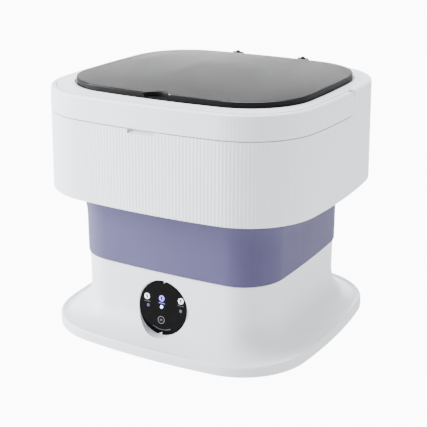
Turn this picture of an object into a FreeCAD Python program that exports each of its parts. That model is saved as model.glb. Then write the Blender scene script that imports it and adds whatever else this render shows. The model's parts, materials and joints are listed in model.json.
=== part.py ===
"""Portable mini washer: a folding tub with a slide-down upper shell, swing lid and carry handle.

Millimetres, +Z up, front towards -Y, origin on the floor at the centre of the footprint.
It is drawn unfolded, with the lid shut and the handle down.
"""
import FreeCAD, Part
import math
import os

from FreeCAD import Vector

os.makedirs("parts", exist_ok=True)

# ---------------------------------------------------------------- overall sizes
WIDTH = 330.0                # over the bottom edge of the upper shell
DEPTH = 302.8
FOLD_TRAVEL = 150.0          # how far the upper shell slides down
SHELL_H = 116.3              # height of the upper shell

# ---------------------------------------------------------------- plan outlines
# Every outline is a rounded rectangle whose sides bow: side, end and corner arcs, all tangent.
SHELL_CORNER_R = 84.0
SHELL_SIDE_R = 734.0
SHELL_END_R = 875.0
DRUM_INSET_X = 40.9          # drum wall, in from the shell's bottom edge
DRUM_INSET_Y = 37.6
DRUM_CORNER_R = 48.0
DRUM_BOW_R = 1400.0
FLANGE_INSET_X = 2.9
FLANGE_OUTSET_Y = 3.6
FLANGE_CORNER_R = 83.0
FLANGE_SIDE_R = 693.0
FLANGE_END_R = 764.0
LID_INSET_X = 22.4
LID_INSET_Y = 25.3
LID_CORNER_R = 73.0
LID_SIDE_R = 1086.0
LID_END_R = 900.0
LID_BACK = 5.3               # the lid sits this far behind the centre

# ---------------------------------------------------------------- walls and clearances
WALL = 2.5                   # base mouldings
SHELL_WALL = 2.8
SHELL_DRAFT = 2.0            # the shell is this much smaller at the top, each side
GAP = 0.4                    # parting gap between mouldings
TOUCH = 0.1                  # between soft and hard pieces that bear on each other
RUN = 0.05                   # radial clearance of a running shaft or pin
PRESS = 0.02                 # radial clearance of a part that is fixed on its seat

# ---------------------------------------------------------------- base
FOOT_H = 2.0
FOOT_R = 9.0
FOOT_STEM_R = 4.0
FOOT_STEM_H = 5.0
FOOT_INSET = 52.0
FLANGE_H = 12.0
FLANGE_EDGE_R = 2.5
FLARE_R = 38.0               # concave sweep from the flange up to the drum wall
FLARE_STEPS = 9
EDGE_STEPS = 3
COVER_T = 2.5
BOSS_R = 4.5
SCREW_R = 1.5
SCREW_HEAD_R = 3.0
SCREW_HEAD_H = 2.0
COVER_SCREW_INSET = 20.0
COVER_SCREW_X = 58.0
COVER_SCREW_Y = 50.0
COVER_SCREW_L = 9.0

# ---------------------------------------------------------------- lower tub
TUB_FLOOR_H = 42.5           # underside of the tub floor above the housing's bottom edge
TUB_WALL = 2.2
TUB_FLOOR_T = 2.5
DRUM_H = 87.0                # top edge of the drum wall above the housing's bottom edge
TUB_LIP_H = 12.0             # upstand that the folding wall grips
BEAD_H = 2.6
BEAD_D = 1.2

# ---------------------------------------------------------------- folding wall
SKIN_T = 1.8
FLARE_START = 46.0           # height above the skirt's bottom edge where the wall starts to widen
FLARE_RISE = 32.0
COLLAR_GROW = 4.0            # outside of the collar, out from the drum wall

# ---------------------------------------------------------------- control panel
PANEL_R = 30.5
PANEL_TILT = 9.2
PANEL_H = 45.0               # centre above the housing's bottom edge
PANEL_OUT = 0.2              # centre of its face, out from the drum wall
LENS_T = 2.5
PANEL_RING_W = 1.5
LEDGE_W = 3.6
PANEL_POCKET = 10.0
BOARD_T = 1.6
BOARD_BACK = 5.0

# ---------------------------------------------------------------- drain and power
DRAIN_X = 55.0
DRAIN_IN = 34.0              # drain hole in from the drum's rear wall
DRAIN_AXIS_H = 30.0
DRAIN_R = 9.0                # hose end of the spout
DRAIN_END_L = 16.0
DRAIN_TUBE_R = 10.5
DRAIN_DOWN_R = 11.5
DRAIN_BORE_R = 7.0
DRAIN_DOWN_BORE_R = 8.0      # wider than the spout's bore, so the two meet in a clean edge
DRAIN_OUT = 31.2             # end of the spout, out from the drum's rear wall
STOPPER_R = 13.0
STOPPER_T = 4.0
STOPPER_STEM = 6.0
STOPPER_TAB_R = 6.0
SOCKET_X = -60.0
SOCKET_H = 30.0
SOCKET_R = 6.5
SOCKET_HOLE_R = 3.2
SOCKET_PIN_R = 1.0
SOCKET_L = 18.0
SOCKET_OUT = 8.0             # end of the socket, out from the drum's rear wall

# ---------------------------------------------------------------- drive
SHAFT_R = 4.0
HUB_R = 13.0
BUSH_R = 8.0
BUSH_L = 6.0
SEAL_R = 9.5
SEAL_L = 4.0
PULLEY_R = 38.0
PULLEY_W = 8.0
PULLEY_RIM = 2.5
PULLEY_RIM_T = 1.2
MOTOR_PULLEY_R = 9.5
MOTOR_SHAFT_R = 2.5
MOTOR_R = 26.0
MOTOR_GAP = 6.0              # between the motor and the large pulley's rim
MOTOR_FLANGE_W = 9.0          # flange out from the can
MOTOR_FLANGE_T = 2.0
MOTOR_DROP = 3.0             # tub bosses that the motor flange hangs from
BELT_T = 1.2
DRIVE_Z = 7.0                # underside of both pulleys
PULSATOR_R = 78.0
PULSATOR_T = 3.0
PULSATOR_DOME = 14.0
PULSATOR_HUB_R = 20.0
PULSATOR_GAP = 3.0           # under the pulsator
PULSATOR_SCREW_L = 8.0       # thread depth in the end of the shaft
CAP_T = 2.0
FIN_COUNT = 6
FIN_T = 7.0
FIN_H = 9.0

# ---------------------------------------------------------------- upper shell
RIM_T = 5.0
RIM_EDGE_R = 3.0
LID_SEAT_D = 2.0
LID_SIDE_GAP = 1.2
MOUTH_INSET = 5.1            # mouth and tub bore, in from the drum wall
COLLAR_T = 2.5
COLLAR_CLEAR = 5.0           # collar above the tub lip when folded
COLLAR_FLANGE_W = 10.0
COLLAR_FLANGE_T = 2.6
COLLAR_FLANGE_DROP = 5.0     # underside of the flange, below the underside of the rim
COLLAR_SCREW_COUNT = 8
CLAMP_T = 2.0
CLAMP_H = 8.0
FOLD_GAP = 5.3               # shell's bottom edge above the flange when folded

# ---------------------------------------------------------------- carry handle
HANDLE_T = 6.0
HANDLE_H = 26.2
HANDLE_GAP = 0.8
HANDLE_TOP_GAP = 0.2
HANDLE_PIVOT_Y = 10.0
HANDLE_PIN_R = 4.0
HANDLE_PIN_IN = 3.3
HANDLE_PIN_HEAD_R = 7.0
HANDLE_PIN_HEAD_T = 2.0
FINGER_W = 35.0
FINGER_H = 5.0

# ---------------------------------------------------------------- lid and hinge
LID_H = 7.2
LID_PANEL_T = 3.5
LID_PANEL_EDGE_R = 1.4
LID_LIFT = 1.0               # underside of the lid above its seat
LID_FRAME_W = 8.0
LID_FRAME_IN = 1.0
NOTCH_R = 16.7
NOTCH_D = 11.0
NOTCH_FLOOR = 1.8
GASKET_IN = 4.0
GASKET_W = 3.0
HINGE_X = 45.0
HINGE_W = 7.0
HINGE_IN = 6.5               # hinge line in from the rear top edge
HINGE_UP = 2.8
HINGE_R = 2.4
HINGE_PIN_R = 1.2
EAR_W = 3.0
EAR_GAP = 0.3
ARM_CLEAR = 0.5

# ---------------------------------------------------------------- worked-out values
FAR = 4.0 * max(WIDTH, DEPTH)
Z_UP = Vector(0, 0, 1)
X_AXIS = Vector(1, 0, 0)
Y_AXIS = Vector(0, 1, 0)

HALF_X = WIDTH / 2
HALF_Y = DEPTH / 2
SHELL = (HALF_X, HALF_Y, SHELL_CORNER_R, SHELL_SIDE_R, SHELL_END_R)
DRUM = (HALF_X - DRUM_INSET_X, HALF_Y - DRUM_INSET_Y, DRUM_CORNER_R, DRUM_BOW_R, DRUM_BOW_R)
FLANGE = (HALF_X - FLANGE_INSET_X, HALF_Y + FLANGE_OUTSET_Y, FLANGE_CORNER_R,
          FLANGE_SIDE_R, FLANGE_END_R)
RIDGE = tuple(size - FLANGE_EDGE_R for size in FLANGE)
LID = (HALF_X - LID_INSET_X, HALF_Y - LID_INSET_Y, LID_CORNER_R, LID_SIDE_R, LID_END_R)
DRUM_X = DRUM[0]
DRUM_Y = DRUM[1]

BASE_Z = FOOT_H
FLANGE_TOP = BASE_Z + FLANGE_H
FLARE_TOP = FLANGE_TOP + FLARE_R
DRUM_TOP = BASE_Z + DRUM_H
TUB_Z = BASE_Z + TUB_FLOOR_H
TUB_FLOOR_TOP = TUB_Z + TUB_FLOOR_T
TUB_TOP = DRUM_TOP + TUB_LIP_H
SKIN_Z = DRUM_TOP + GAP
SHELL_Z = FLANGE_TOP + FOLD_GAP + FOLD_TRAVEL
SHELL_TOP = SHELL_Z + SHELL_H
RIM_Z = SHELL_TOP - RIM_T
SEAT_Z = SHELL_TOP - LID_SEAT_D
COLLAR_Z = TUB_TOP + FOLD_TRAVEL + COLLAR_CLEAR
COLLAR_FLANGE_Z = RIM_Z - COLLAR_FLANGE_DROP
CLAMP_Z = COLLAR_Z + 2.0
SKIN_TOP = CLAMP_Z + CLAMP_H + 1.0
BEAD_LOW_Z = DRUM_TOP + TUB_LIP_H / 2
BEAD_HIGH_Z = CLAMP_Z + CLAMP_H / 2
LID_Z = SEAT_Z + LID_LIFT
LID_TOP = LID_Z + LID_H
PANEL_Z = LID_TOP - LID_PANEL_T
HANDLE_TOP = SHELL_TOP - HANDLE_TOP_GAP
HANDLE_PIVOT_Z = HANDLE_TOP - HANDLE_H / 2
HANDLE_END_R = HANDLE_H / 2
RECESS_END_R = HANDLE_END_R + HANDLE_GAP
RECESS_Z = HANDLE_PIVOT_Z - RECESS_END_R
RECESS_D = HANDLE_T + HANDLE_GAP
HINGE_Y = HALF_Y - SHELL_DRAFT - HINGE_IN
HINGE_Z = SHELL_TOP + HINGE_UP
DRAIN_Y = DRUM_Y - DRAIN_IN
DRAIN_Z = BASE_Z + DRAIN_AXIS_H
DRAIN_END_Y = DRUM_Y + DRAIN_OUT
SOCKET_Z = BASE_Z + SOCKET_H
SOCKET_END_Y = DRUM_Y + SOCKET_OUT
MOTOR_X = -(PULLEY_R + PULLEY_RIM + MOTOR_GAP + MOTOR_R)
MOTOR_TOP = TUB_Z - MOTOR_DROP
MOTOR_Z = DRIVE_Z + PULLEY_W + 2 * PULLEY_RIM_T + 3.0
PULSATOR_Z = TUB_FLOOR_TOP + PULSATOR_GAP
SHAFT_TOP = PULSATOR_Z + PULSATOR_T + PULSATOR_DOME - 4.0


# ---------------------------------------------------------------- outline helpers
def corner_centre(shape):
    """Centre of the corner arc that is tangent to the side arc and to the end arc."""
    half_x, half_y, corner_r, side_r, end_r = shape
    side_x = half_x - side_r
    end_y = half_y - end_r
    span = math.hypot(side_x, end_y)
    reach = side_r - corner_r
    along = (reach ** 2 - (end_r - corner_r) ** 2 + span ** 2) / (2 * span)
    across = math.sqrt(reach ** 2 - along ** 2)
    out_x = -side_x / span
    out_y = end_y / span
    return side_x + along * out_x - across * out_y, along * out_y + across * out_x


def arc(centre, radius, start, end, z):
    """Arc edge from one angle to another, in radians."""
    points = []
    for angle in (start, (start + end) / 2, end):
        x = centre[0] + radius * math.cos(angle)
        y = centre[1] + radius * math.sin(angle)
        points.append(Vector(x, y, z))
    return Part.Arc(*points).toShape()


def outline(shape, z, grow=0.0, back=0.0):
    """Closed wire of an outline at height z, moved out by grow and back by back."""
    half_x, half_y, corner_r, side_r, end_r = shape
    cx, cy = corner_centre(shape)
    side = math.atan2(cy, cx - (half_x - side_r))
    end = math.atan2(cy - (half_y - end_r), cx)
    turn = math.pi
    arcs = (
        (half_x - side_r, 0, side_r, -side, side),
        (cx, cy, corner_r, side, end),
        (0, half_y - end_r, end_r, end, turn - end),
        (-cx, cy, corner_r, turn - end, turn - side),
        (side_r - half_x, 0, side_r, turn - side, turn + side),
        (-cx, -cy, corner_r, turn + side, turn + end),
        (0, end_r - half_y, end_r, turn + end, 2 * turn - end),
        (cx, -cy, corner_r, 2 * turn - end, 2 * turn - side),
    )
    edges = [arc((x, y + back), r + grow, a, b, z) for x, y, r, a, b in arcs]
    return Part.Wire(edges)


def slab(shape, low, high, grow=0.0, back=0.0):
    """Straight-sided solid on an outline, from one height to another."""
    return Part.Face(outline(shape, low, grow, back)).extrude(Vector(0, 0, high - low))


def stack(shape, levels):
    """Solid through (height, grow) levels of one outline, with straight sides between them."""
    return Part.makeLoft([outline(shape, z, grow) for z, grow in levels], True, True)


def ring(shape, low, high, grow_in, grow_out, back=0.0):
    """Band between two offsets of one outline."""
    return slab(shape, low, high, grow_out, back).cut(slab(shape, low, high, grow_in, back))


def blend(first, second, share):
    """Outline between two outlines."""
    return tuple(a + (b - a) * share for a, b in zip(first, second))


def point_on(shape, angle, grow=0.0):
    """Point where a ray from the centre meets an outline, found by walking out along the ray."""
    direction = Vector(math.cos(angle), math.sin(angle), 0)
    ray = Part.makeLine(Vector(0, 0, 0), direction * FAR)
    meets = outline(shape, 0, grow).distToShape(ray)[1][0][1]
    return meets.x, meets.y


# ---------------------------------------------------------------- solid helpers
def rod(radius, start, direction, length):
    return Part.makeCylinder(radius, length, start, direction)


def pipe(inner, outer, start, direction, length):
    return rod(outer, start, direction, length).cut(rod(inner, start, direction, length))


def block(x0, x1, y0, y1, z0, z1):
    return Part.makeBox(x1 - x0, y1 - y0, z1 - z0, Vector(x0, y0, z0))


def fuse(first, others):
    """One solid from pieces that touch or overlap."""
    return first.multiFuse(list(others)).removeSplitter()


def screw(x, y, z, length):
    """Round-head screw whose head rests at height z; its shank runs up."""
    shank = rod(SCREW_R, Vector(x, y, z), Z_UP, length)
    head = rod(SCREW_HEAD_R, Vector(x, y, z - SCREW_HEAD_H), Z_UP, SCREW_HEAD_H)
    return shank.fuse(head).removeSplitter()


def save(name, *solids):
    """Write one node; several solids stay separate solids in it."""
    shape = solids[0] if len(solids) == 1 else Part.makeCompound(list(solids))
    bodies = shape.Solids
    shape = bodies[0] if len(bodies) == 1 else Part.makeCompound(bodies)
    shape.exportStep("parts/" + name + ".step")
    print(name, "solids", len(bodies), "valid", shape.isValid(), "cm3", round(shape.Volume / 1000, 2))


# ---------------------------------------------------------------- control panel frame
TILT = math.radians(PANEL_TILT)
PANEL_OUTWARD = Vector(0, -math.cos(TILT), math.sin(TILT))
PANEL_CENTRE = Vector(0, -DRUM_Y - PANEL_OUT, BASE_Z + PANEL_H)


def panel_rod(radius, back, front):
    """Cylinder on the panel's axis, between two distances out from its face."""
    return rod(radius, PANEL_CENTRE + PANEL_OUTWARD * back, PANEL_OUTWARD, front - back)


POCKET_R = PANEL_R + PANEL_RING_W + TOUCH
CUP_R = POCKET_R + WALL


# ---------------------------------------------------------------- base housing
def flare_sections(inset):
    """Outlines up the concave skirt, from the ridge to the drum wall, moved in by a wall."""
    sections = []
    for step in range(FLARE_STEPS + 1):
        angle = math.radians(90.0 - 90.0 * step / FLARE_STEPS)
        share = 1 - (1 + inset / FLARE_R) * math.cos(angle)
        height = FLARE_TOP - (FLARE_R + inset) * math.sin(angle)
        sections.append(outline(blend(DRUM, RIDGE, share), height))
    return sections


def cover_screw_places():
    """Screws of the bottom cover, along the four sides of the flange."""
    reach_x = FLANGE[0] - COVER_SCREW_INSET
    reach_y = FLANGE[1] - COVER_SCREW_INSET
    places = []
    for sx in (-1, 1):
        for sy in (-1, 1):
            places.append((sx * reach_x, sy * COVER_SCREW_Y))
            places.append((sx * COVER_SCREW_X, sy * reach_y))
    return places


def base_outside():
    sections = [outline(FLANGE, BASE_Z)]
    for step in range(EDGE_STEPS):
        angle = math.radians(90.0 * step / EDGE_STEPS)
        height = FLANGE_TOP - FLANGE_EDGE_R * (1 - math.sin(angle))
        sections.append(outline(FLANGE, height, FLANGE_EDGE_R * (math.cos(angle) - 1)))
    sections += flare_sections(0)
    sections.append(outline(DRUM, DRUM_TOP))
    return Part.makeLoft(sections, True, True)


def base_hollow():
    """Inside of the base, open at the bottom and at the top."""
    sections = [outline(RIDGE, BASE_Z - 1)] + flare_sections(WALL)
    sections.append(outline(DRUM, DRUM_TOP + 1, -WALL))
    return Part.makeLoft(sections, True, True)


def make_base_housing():
    outside = base_outside()
    hollow = base_hollow().cut(panel_rod(CUP_R, -PANEL_POCKET - WALL, FAR))
    housing = outside.cut(hollow)
    housing = housing.cut(panel_rod(POCKET_R, -LENS_T, FAR))
    housing = housing.cut(panel_rod(POCKET_R - LEDGE_W, -PANEL_POCKET, FAR))
    bosses = []
    for x, y in cover_screw_places():
        boss = rod(BOSS_R, Vector(x, y, BASE_Z + COVER_T), Z_UP, FLARE_R)
        bosses.append(boss.common(outside))
    housing = fuse(housing, bosses)
    for x, y in cover_screw_places():
        housing = housing.cut(rod(SCREW_R + RUN, Vector(x, y, BASE_Z), Z_UP, COVER_SCREW_L + 1))
    rear = Vector(DRAIN_X, DRAIN_Y, DRAIN_Z)
    housing = housing.cut(rod(DRAIN_TUBE_R + TOUCH, rear, Y_AXIS, FAR))
    socket = Vector(SOCKET_X, DRUM_Y - SOCKET_L, SOCKET_Z)
    housing = housing.cut(rod(SOCKET_R + TOUCH, socket, Y_AXIS, FAR))
    save("base_housing", housing)


def make_bottom_cover():
    cover = slab(RIDGE, BASE_Z, BASE_Z + COVER_T, -GAP)
    for x, y in cover_screw_places():
        cover = cover.cut(rod(SCREW_R + RUN, Vector(x, y, 0), Z_UP, FLANGE_TOP))
        head_h = SCREW_HEAD_H / 2
        cover = cover.cut(rod(SCREW_HEAD_R + RUN, Vector(x, y, BASE_Z), Z_UP, head_h))
    for x, y in foot_places():
        cover = cover.cut(rod(FOOT_STEM_R + PRESS, Vector(x, y, 0), Z_UP, FLANGE_TOP))
    save("bottom_cover", cover)


def make_bottom_screws():
    screws = []
    for x, y in cover_screw_places():
        head_z = BASE_Z + SCREW_HEAD_H / 2
        body = screw(x, y, head_z, COVER_SCREW_L - 2)
        screws.append(body.cut(block(-FAR, FAR, -FAR, FAR, -FAR, BASE_Z)))
    save("bottom_screws", *screws)


def foot_places():
    reach_x = FLANGE[0] - FOOT_INSET
    reach_y = FLANGE[1] - FOOT_INSET
    return [(sx * reach_x, sy * reach_y) for sx in (-1, 1) for sy in (-1, 1)]


def make_rubber_feet():
    feet = []
    for x, y in foot_places():
        pad = rod(FOOT_R, Vector(x, y, 0), Z_UP, FOOT_H)
        stem = rod(FOOT_STEM_R, Vector(x, y, 0), Z_UP, FOOT_STEM_H)
        feet.append(pad.fuse(stem).removeSplitter())
    save("rubber_feet", *feet)


# ---------------------------------------------------------------- lower tub
def motor_boss_places():
    ring_r = MOTOR_R + MOTOR_FLANGE_W / 2
    places = []
    for degrees in (90, 210, 330):
        angle = math.radians(degrees)
        places.append((MOTOR_X + ring_r * math.cos(angle), ring_r * math.sin(angle)))
    return places


def make_lower_tub():
    outside = slab(DRUM, TUB_Z, DRUM_TOP, -WALL - GAP)
    outside = outside.cut(panel_rod(CUP_R + GAP, -PANEL_POCKET - WALL - GAP, FAR))
    bore = slab(DRUM, TUB_FLOOR_TOP, TUB_TOP + 1, -MOUTH_INSET)
    bore = bore.cut(panel_rod(CUP_R + GAP + TUB_WALL, -PANEL_POCKET - WALL - GAP - TUB_WALL, FAR))
    lip = slab(DRUM, DRUM_TOP, TUB_TOP)
    groove_low = BEAD_LOW_Z - BEAD_H / 2 - TOUCH
    groove_high = BEAD_LOW_Z + BEAD_H / 2 + TOUCH
    lip = lip.cut(ring(DRUM, groove_low, groove_high, -BEAD_D - TOUCH, 1))
    hub_low = TUB_Z - 2 * BUSH_L - 2
    hub = rod(HUB_R, Vector(0, 0, hub_low), Z_UP, TUB_FLOOR_TOP - hub_low)
    bosses = [hub]
    for x, y in motor_boss_places():
        bosses.append(rod(BOSS_R, Vector(x, y, MOTOR_TOP), Z_UP, MOTOR_DROP))
    tub = fuse(outside.fuse(lip).cut(bore), bosses)
    tub = tub.cut(rod(BUSH_R, Vector(0, 0, hub_low), Z_UP, TUB_FLOOR_TOP - hub_low))
    tub = tub.cut(rod(SEAL_R, Vector(0, 0, TUB_FLOOR_TOP - SEAL_L), Z_UP, SEAL_L))
    for x, y in motor_boss_places():
        tub = tub.cut(rod(SCREW_R + RUN, Vector(x, y, MOTOR_TOP), Z_UP, MOTOR_DROP + 1))
    tub = tub.cut(rod(DRAIN_BORE_R, Vector(DRAIN_X, DRAIN_Y, TUB_Z), Z_UP, TUB_FLOOR_T))
    save("lower_tub", tub)


def make_drain():
    top = Vector(DRAIN_X, DRAIN_Y, DRAIN_Z)
    foot_z = DRAIN_Z - DRAIN_DOWN_R
    down = rod(DRAIN_DOWN_R, Vector(DRAIN_X, DRAIN_Y, foot_z), Z_UP, TUB_Z - foot_z)
    along = rod(DRAIN_TUBE_R, top, Y_AXIS, DRAIN_END_Y - DRAIN_END_L - DRAIN_Y)
    end = rod(DRAIN_R, top, Y_AXIS, DRAIN_END_Y - DRAIN_Y)
    spout = fuse(down, (along, end))
    low = DRAIN_Z - DRAIN_BORE_R
    spout = spout.cut(rod(DRAIN_DOWN_BORE_R, Vector(DRAIN_X, DRAIN_Y, low), Z_UP, TUB_Z - low))
    spout = spout.cut(rod(DRAIN_BORE_R, top, Y_AXIS, FAR))
    save("drain_spout", spout.removeSplitter())

    head = rod(STOPPER_R, Vector(DRAIN_X, DRAIN_Y, TUB_FLOOR_TOP + TOUCH), Z_UP, STOPPER_T)
    stem_low = TUB_FLOOR_TOP - STOPPER_STEM
    stem = rod(DRAIN_BORE_R - 3 * TOUCH, Vector(DRAIN_X, DRAIN_Y, stem_low), Z_UP, STOPPER_STEM + 1)
    tab_z = TUB_FLOOR_TOP + STOPPER_T + STOPPER_TAB_R * 0.6
    tab = rod(STOPPER_TAB_R, Vector(DRAIN_X - 1.5, DRAIN_Y, tab_z), X_AXIS, 3.0)
    tab = tab.cut(rod(STOPPER_TAB_R / 2, Vector(DRAIN_X - 1.5, DRAIN_Y, tab_z + 1), X_AXIS, 3.0))
    save("drain_stopper", fuse(head, (stem, tab)))


def make_socket():
    end = Vector(SOCKET_X, SOCKET_END_Y, SOCKET_Z)
    body = rod(SOCKET_R, end, Y_AXIS * -1, SOCKET_L)
    body = body.cut(rod(SOCKET_HOLE_R, end, Y_AXIS * -1, SOCKET_L - 4))
    pin = rod(SOCKET_PIN_R, end - Y_AXIS * 1.0, Y_AXIS * -1, SOCKET_L - 4)
    save("power_socket", body.fuse(pin).removeSplitter())


# ---------------------------------------------------------------- control panel pieces
def make_panel():
    save("panel_lens", panel_rod(PANEL_R, -LENS_T + TOUCH, 0))
    band = panel_rod(POCKET_R - TOUCH, -LENS_T + TOUCH, 0.4)
    save("panel_ring", band.cut(panel_rod(PANEL_R + TOUCH, -LENS_T, 1)))
    board = panel_rod(POCKET_R - LEDGE_W - 1, -BOARD_BACK - BOARD_T, -BOARD_BACK)
    keys = []
    for x in (-14.0, 0.0, 14.0):
        key = rod(4.0, PANEL_CENTRE - PANEL_OUTWARD * BOARD_BACK + Vector(x, 0, 0), PANEL_OUTWARD, 2.0)
        keys.append(key)
    save("control_board", fuse(board, keys))


# ---------------------------------------------------------------- folding wall
def make_folding_wall():
    low = SKIN_Z + FLARE_START
    high = low + FLARE_RISE
    inner = ((SKIN_Z, TOUCH), (low, TOUCH), (high, COLLAR_GROW + TOUCH), (SKIN_TOP, COLLAR_GROW + TOUCH))
    outer = [(z, grow + SKIN_T) for z, grow in inner]
    skin = stack(DRUM, outer).cut(stack(DRUM, inner))
    low_bead = ring(DRUM, BEAD_LOW_Z - BEAD_H / 2, BEAD_LOW_Z + BEAD_H / 2, -BEAD_D, TOUCH + 1)
    high_bead = ring(DRUM, BEAD_HIGH_Z - BEAD_H / 2, BEAD_HIGH_Z + BEAD_H / 2,
                     COLLAR_GROW - BEAD_D, COLLAR_GROW + TOUCH + 1)
    save("folding_wall", fuse(skin, (low_bead, high_bead)))


# ---------------------------------------------------------------- drive pieces
def pulley(centre_x, radius, bore_r):
    """Flat-belt pulley with two rims, its underside at the drive height."""
    base = Vector(centre_x, 0, DRIVE_Z)
    tread = rod(radius, base, Z_UP, PULLEY_W + 2 * PULLEY_RIM_T)
    low_rim = rod(radius + PULLEY_RIM, base, Z_UP, PULLEY_RIM_T)
    high = base + Z_UP * (PULLEY_W + PULLEY_RIM_T)
    high_rim = rod(radius + PULLEY_RIM, high, Z_UP, PULLEY_RIM_T)
    wheel = fuse(tread, (low_rim, high_rim))
    return wheel.cut(rod(bore_r, base, Z_UP, FAR))


def make_drive():
    shaft_low = DRIVE_Z - 1
    shaft = rod(SHAFT_R, Vector(0, 0, shaft_low), Z_UP, SHAFT_TOP - shaft_low)
    shaft = shaft.cut(rod(SCREW_R, Vector(0, 0, SHAFT_TOP - PULSATOR_SCREW_L), Z_UP, FAR))
    save("pulsator_shaft", shaft)
    wheel = pulley(0, PULLEY_R, SHAFT_R + PRESS)
    web_low = DRIVE_Z + PULLEY_RIM_T + 2
    dish = pipe(SHAFT_R + 6, PULLEY_R - 5, Vector(0, 0, web_low), Z_UP, FAR)
    save("drive_pulley", wheel.cut(dish))
    hub_low = TUB_Z - 2 * BUSH_L - 2
    lower = pipe(SHAFT_R + RUN, BUSH_R, Vector(0, 0, hub_low), Z_UP, BUSH_L)
    upper_z = TUB_FLOOR_TOP - SEAL_L - BUSH_L
    upper = pipe(SHAFT_R + RUN, BUSH_R, Vector(0, 0, upper_z), Z_UP, BUSH_L)
    save("shaft_bushes", lower, upper)
    seal_z = TUB_FLOOR_TOP - SEAL_L
    seal = pipe(SHAFT_R + RUN, SEAL_R, Vector(0, 0, seal_z), Z_UP, SEAL_L + 1)
    save("shaft_seal", seal)

    motor_low = Vector(MOTOR_X, 0, MOTOR_Z)
    can = rod(MOTOR_R, motor_low, Z_UP, MOTOR_TOP - MOTOR_Z)
    plate_z = MOTOR_TOP - MOTOR_FLANGE_T
    plate = rod(MOTOR_R + MOTOR_FLANGE_W, Vector(MOTOR_X, 0, plate_z), Z_UP, MOTOR_FLANGE_T)
    motor = fuse(can, (plate,))
    motor = motor.cut(rod(MOTOR_SHAFT_R + RUN, motor_low, Z_UP, MOTOR_TOP - MOTOR_Z - 3))
    for x, y in motor_boss_places():
        motor = motor.cut(rod(SCREW_R + RUN, Vector(x, y, plate_z), Z_UP, FAR))
    save("motor_can", motor)
    shaft_end = MOTOR_TOP - 4
    save("motor_shaft", rod(MOTOR_SHAFT_R, Vector(MOTOR_X, 0, shaft_low), Z_UP, shaft_end - shaft_low))
    save("motor_pulley", pulley(MOTOR_X, MOTOR_PULLEY_R, MOTOR_SHAFT_R + PRESS))
    screws = [screw(x, y, plate_z, MOTOR_FLANGE_T + MOTOR_DROP) for x, y in motor_boss_places()]
    save("motor_screws", *screws)
    save("drive_belt", belt_band())


def belt_loop(thickness, height, low):
    """Solid inside a belt that wraps both pulleys, its runs tangent to both."""
    big = PULLEY_R + TOUCH + thickness
    small = MOTOR_PULLEY_R + TOUCH + thickness
    lean = math.asin((big - small) / -MOTOR_X)
    half = math.pi / 2 + lean
    a = Vector(big * math.cos(math.pi / 2 + lean), big * math.sin(math.pi / 2 + lean), low)
    b = Vector(MOTOR_X + small * math.cos(half), small * math.sin(half), low)
    c = Vector(b.x, -b.y, low)
    d = Vector(a.x, -a.y, low)
    edges = [
        Part.makeLine(a, b),
        Part.Arc(b, Vector(MOTOR_X - small, 0, low), c).toShape(),
        Part.makeLine(c, d),
        Part.Arc(d, Vector(big, 0, low), a).toShape(),
    ]
    return Part.Face(Part.Wire(edges)).extrude(Vector(0, 0, height))


def belt_band():
    low = DRIVE_Z + PULLEY_RIM_T + 1
    high = PULLEY_W - 2
    return belt_loop(BELT_T, high, low).cut(belt_loop(0, high, low))


def make_pulsator():
    low = PULSATOR_Z
    dome_top = low + PULSATOR_T + PULSATOR_DOME
    disc = rod(PULSATOR_R, Vector(0, 0, low), Z_UP, PULSATOR_T)
    dome = Part.makeCone(PULSATOR_R - 4, PULSATOR_HUB_R, PULSATOR_DOME, Vector(0, 0, low + PULSATOR_T))
    body = disc.fuse(dome)
    hollow = Part.makeCone(PULSATOR_R - 7, PULSATOR_HUB_R - 3, PULSATOR_DOME, Vector(0, 0, low))
    body = body.cut(hollow)
    hub = rod(PULSATOR_HUB_R - 6, Vector(0, 0, low), Z_UP, PULSATOR_T + PULSATOR_DOME)
    fins = [hub]
    for i in range(FIN_COUNT):
        fin = block(PULSATOR_HUB_R - 8, PULSATOR_R - 5, -FIN_T / 2, FIN_T / 2, low + PULSATOR_T - 1, FAR)
        top = Part.makeCone(PULSATOR_R + FIN_H, PULSATOR_HUB_R + FIN_H, PULSATOR_DOME + 2,
                            Vector(0, 0, low + PULSATOR_T - 1))
        fin = fin.common(top)
        fin.rotate(Vector(0, 0, 0), Z_UP, i * 360.0 / FIN_COUNT)
        fins.append(fin)
    body = fuse(body, fins)
    body = body.cut(rod(SHAFT_R + PRESS, Vector(0, 0, 0), Z_UP, SHAFT_TOP))
    body = body.cut(rod(SCREW_R, Vector(0, 0, 0), Z_UP, FAR))
    seat_z = dome_top - SCREW_HEAD_H
    cap_r = PULSATOR_HUB_R - 8
    save("pulsator", body.cut(rod(cap_r, Vector(0, 0, seat_z), Z_UP, FAR)))
    save("pulsator_cap", rod(cap_r, Vector(0, 0, dome_top), Z_UP, CAP_T))
    shank_z = SHAFT_TOP - PULSATOR_SCREW_L
    shank = rod(SCREW_R, Vector(0, 0, shank_z), Z_UP, seat_z - shank_z)
    head = rod(SCREW_HEAD_R, Vector(0, 0, seat_z), Z_UP, SCREW_HEAD_H)
    save("pulsator_screw", shank.fuse(head).removeSplitter())


# ---------------------------------------------------------------- upper shell
def shell_block():
    """Outside of the upper shell as a full solid, its top edge rounded."""
    solid = stack(SHELL, [(SHELL_Z, 0), (SHELL_TOP, -SHELL_DRAFT)])
    top_edges = [e for e in solid.Edges if e.BoundBox.ZMin > SHELL_TOP - 0.01]
    return solid.makeFillet(RIM_EDGE_R, top_edges)


def shell_inner(grow, low, high):
    """Solid that follows the shell's drafted wall at an offset, between two heights."""
    def draft(z):
        return grow - SHELL_DRAFT * (z - SHELL_Z) / SHELL_H
    return stack(SHELL, [(low, draft(low)), (high, draft(high))])


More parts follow.
